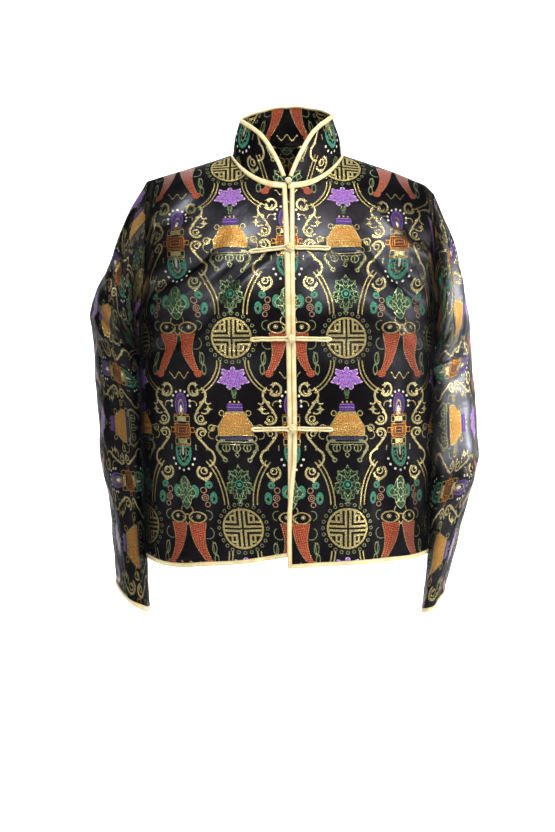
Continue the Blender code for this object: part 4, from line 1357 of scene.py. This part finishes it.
def rouleau(name, node, path, radius, closed, core=None):
    """A tube of satin along a smooth line of points, round a ball where it has a core."""
    path = np.asarray(path)
    ahead = np.roll(path, -1, axis=0) - np.roll(path, 1, axis=0) if closed else np.gradient(path, axis=0)
    ahead = unit(ahead)
    aside = np.cross(ahead[0], (0.0, 0.0, 1.0) if abs(ahead[0][2]) < 0.9 else (1.0, 0.0, 0.0))
    frames = []
    for way in ahead:
        aside = unit(aside - way * np.dot(aside, way))
        frames.append(aside)
    frames = np.array(frames)
    third = np.cross(ahead, frames)
    if closed:
        slip = math.atan2(np.dot(frames[0], third[-1]), np.dot(frames[0], frames[-1]))
        turn = np.linspace(0, slip, len(path))[:, None]
        frames, third = (frames * np.cos(turn) + third * np.sin(turn),
                         third * np.cos(turn) - frames * np.sin(turn))
    run = run_of(path)
    wide = radius * (1 + 0.045 * np.sin(run * 900) + 0.03 * np.sin(run * 2300 + 1))
    round_steps = np.linspace(0.0, 2 * math.pi, CORD_SIDES + 1)[:, None, None]
    tube = path + wide[:, None] * (frames * np.cos(round_steps) + third * np.sin(round_steps))
    if closed:
        tube = np.concatenate([tube, tube[:, :1]], axis=1)
        run = np.append(run, run[-1] + run[1])
    tube[-1] = tube[0]
    girth = np.linspace(0.0, 2 * math.pi * radius, CORD_SIDES + 1)
    work = bent_grid(tube, np.stack(np.broadcast_arrays(run[None, :], girth[:, None]), axis=-1))
    bmesh.ops.remove_doubles(work, verts=work.verts[:], dist=1e-7)
    bmesh.ops.holes_fill(work, edges=[edge for edge in work.edges if edge.is_boundary])
    bmesh.ops.recalc_face_normals(work, faces=work.faces[:])
    if core is not None:
        ball = bmesh.ops.create_uvsphere(work, u_segments=20, v_segments=12, radius=BALL_CORE)
        bmesh.ops.translate(work, verts=ball["verts"], vec=core)
    cord = laid_out(name, work, CORD_SATIN)
    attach(cord, "root")
    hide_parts(node)


def along_curve(controls, count, closed=False):
    """Evenly spaced points on a smooth curve through the controls."""
    controls = np.asarray(controls, dtype=float)
    if closed:
        controls = np.concatenate([controls[-2:], controls, controls[:3]])
    knots = run_of(controls)
    first, last = (knots[2], knots[-3]) if closed else (knots[0], knots[-1])
    at = np.linspace(first, last, count + (1 if closed else 0))
    if closed:
        at = at[:-1]
    return np.stack([through(np.column_stack([knots, column]), at) for column in controls.T], axis=-1)


def doubled(middle, height, droop, way, levels, wave, phase):
    """A cord that runs out across a front and back again, one run above the other."""
    return [(middle + way * (FROG_START + FROG_LENGTH * share),
             height + level * CORD_SPREAD - droop * share + CORD_WOBBLE * math.sin(share * wave + phase),
             FRONT_SURFACE + CORD_RADIUS) for share, level in levels]


def knot_leg(middle, height, droop, number):
    """The knot's own leg: both ends go under the knot."""
    levels = ((0.0, 1.0), (0.12, 1.0), (0.3, 1.0), (0.5, 0.98), (0.7, 1.03), (0.88, 1.08), (0.97, 0.9),
              (1.015, 0.0), (0.97, -0.9), (0.88, -1.1), (0.7, -1.0), (0.5, -1.02), (0.3, -1.0),
              (0.12, -1.0), (0.0, -1.0))
    runs = np.array(doubled(middle, height, droop, 1, levels, 17, number * 2.3))
    runs[0, 1] -= ENDS_PINCHED
    runs[-1, 1] += ENDS_PINCHED
    return on_front(*along_curve(runs, 150).T)


def loop_leg(middle, height, droop, number):
    """The other leg: its two runs part and go round the foot of the knot as one loop."""
    low = FRONT_SURFACE + CORD_RADIUS
    levels = ((0.02, 1.05), (0.14, 1.0), (0.3, 1.0), (0.5, 1.02), (0.7, 1.0), (0.88, 1.12), (0.97, 0.9),
              (1.015, 0.0), (0.97, -0.9), (0.88, -1.06), (0.7, -1.0), (0.5, -0.98), (0.3, -1.0),
              (0.14, -1.0), (0.02, -1.05))
    around = [(middle + x, height + z, low + out) for x, z, out in (
        (0.0050, 0.0, 0.0004), (0.0036, 0.0038, 0.0003), (-0.0002, 0.0052, 0.0002), (-0.0040, 0.0038, 0.0),
        (-0.0040, -0.0038, 0.0), (-0.0002, -0.0052, 0.0002), (0.0036, -0.0038, 0.0003))]
    runs = doubled(middle, height, droop, -1, levels, 15, number * 1.7)
    return on_front(*along_curve(around[:4] + runs + around[4:], 210, closed=True).T)


def ball_knot(middle, height, tilt):
    """The middle of a woven ball and its cord, three times round, over and under itself."""
    centre = on_front(middle, height, FRONT_SURFACE + BALL_HEIGHT)
    t = np.linspace(0, 6 * math.pi, 260, endpoint=False)
    latitude = math.radians(52) * np.sin(4 * t / 3)
    reach = 0.0036 + 0.0007 * np.sin(8 * t / 3)
    local = np.stack([reach * np.cos(latitude) * np.cos(t), reach * np.sin(latitude) * 0.98,
                      reach * np.cos(latitude) * np.sin(t)], axis=-1)
    turning = np.array([[math.cos(tilt), 0, math.sin(tilt)], [0, 1, 0], [-math.sin(tilt), 0, math.cos(tilt)]])
    return local @ turning + centre, centre


for number, height in enumerate((-0.0520, -0.1510, -0.2830, -0.4135)):
    middle = float(through(CLOSING["right"], height) + through(CLOSING["left"], height)) / 2
    path, centre = ball_knot(middle, height, 0.5 * number)
    rouleau(f"ball_knot_{number}", f"knot_{number}", path, BALL_CORD, True, core=centre)
    if number == 0:
        continue
    leg = knot_leg(middle, height, LEG_DROOP, number)
    rouleau(f"frog_leg_left_{number}", f"frog_left_{number}", leg, CORD_RADIUS, False)
    leg = loop_leg(middle, height, TOP_LOOP_DROOP if number == 1 else LEG_DROOP, number)
    rouleau(f"frog_leg_right_{number}", f"frog_right_{number}", leg, CORD_RADIUS, True)
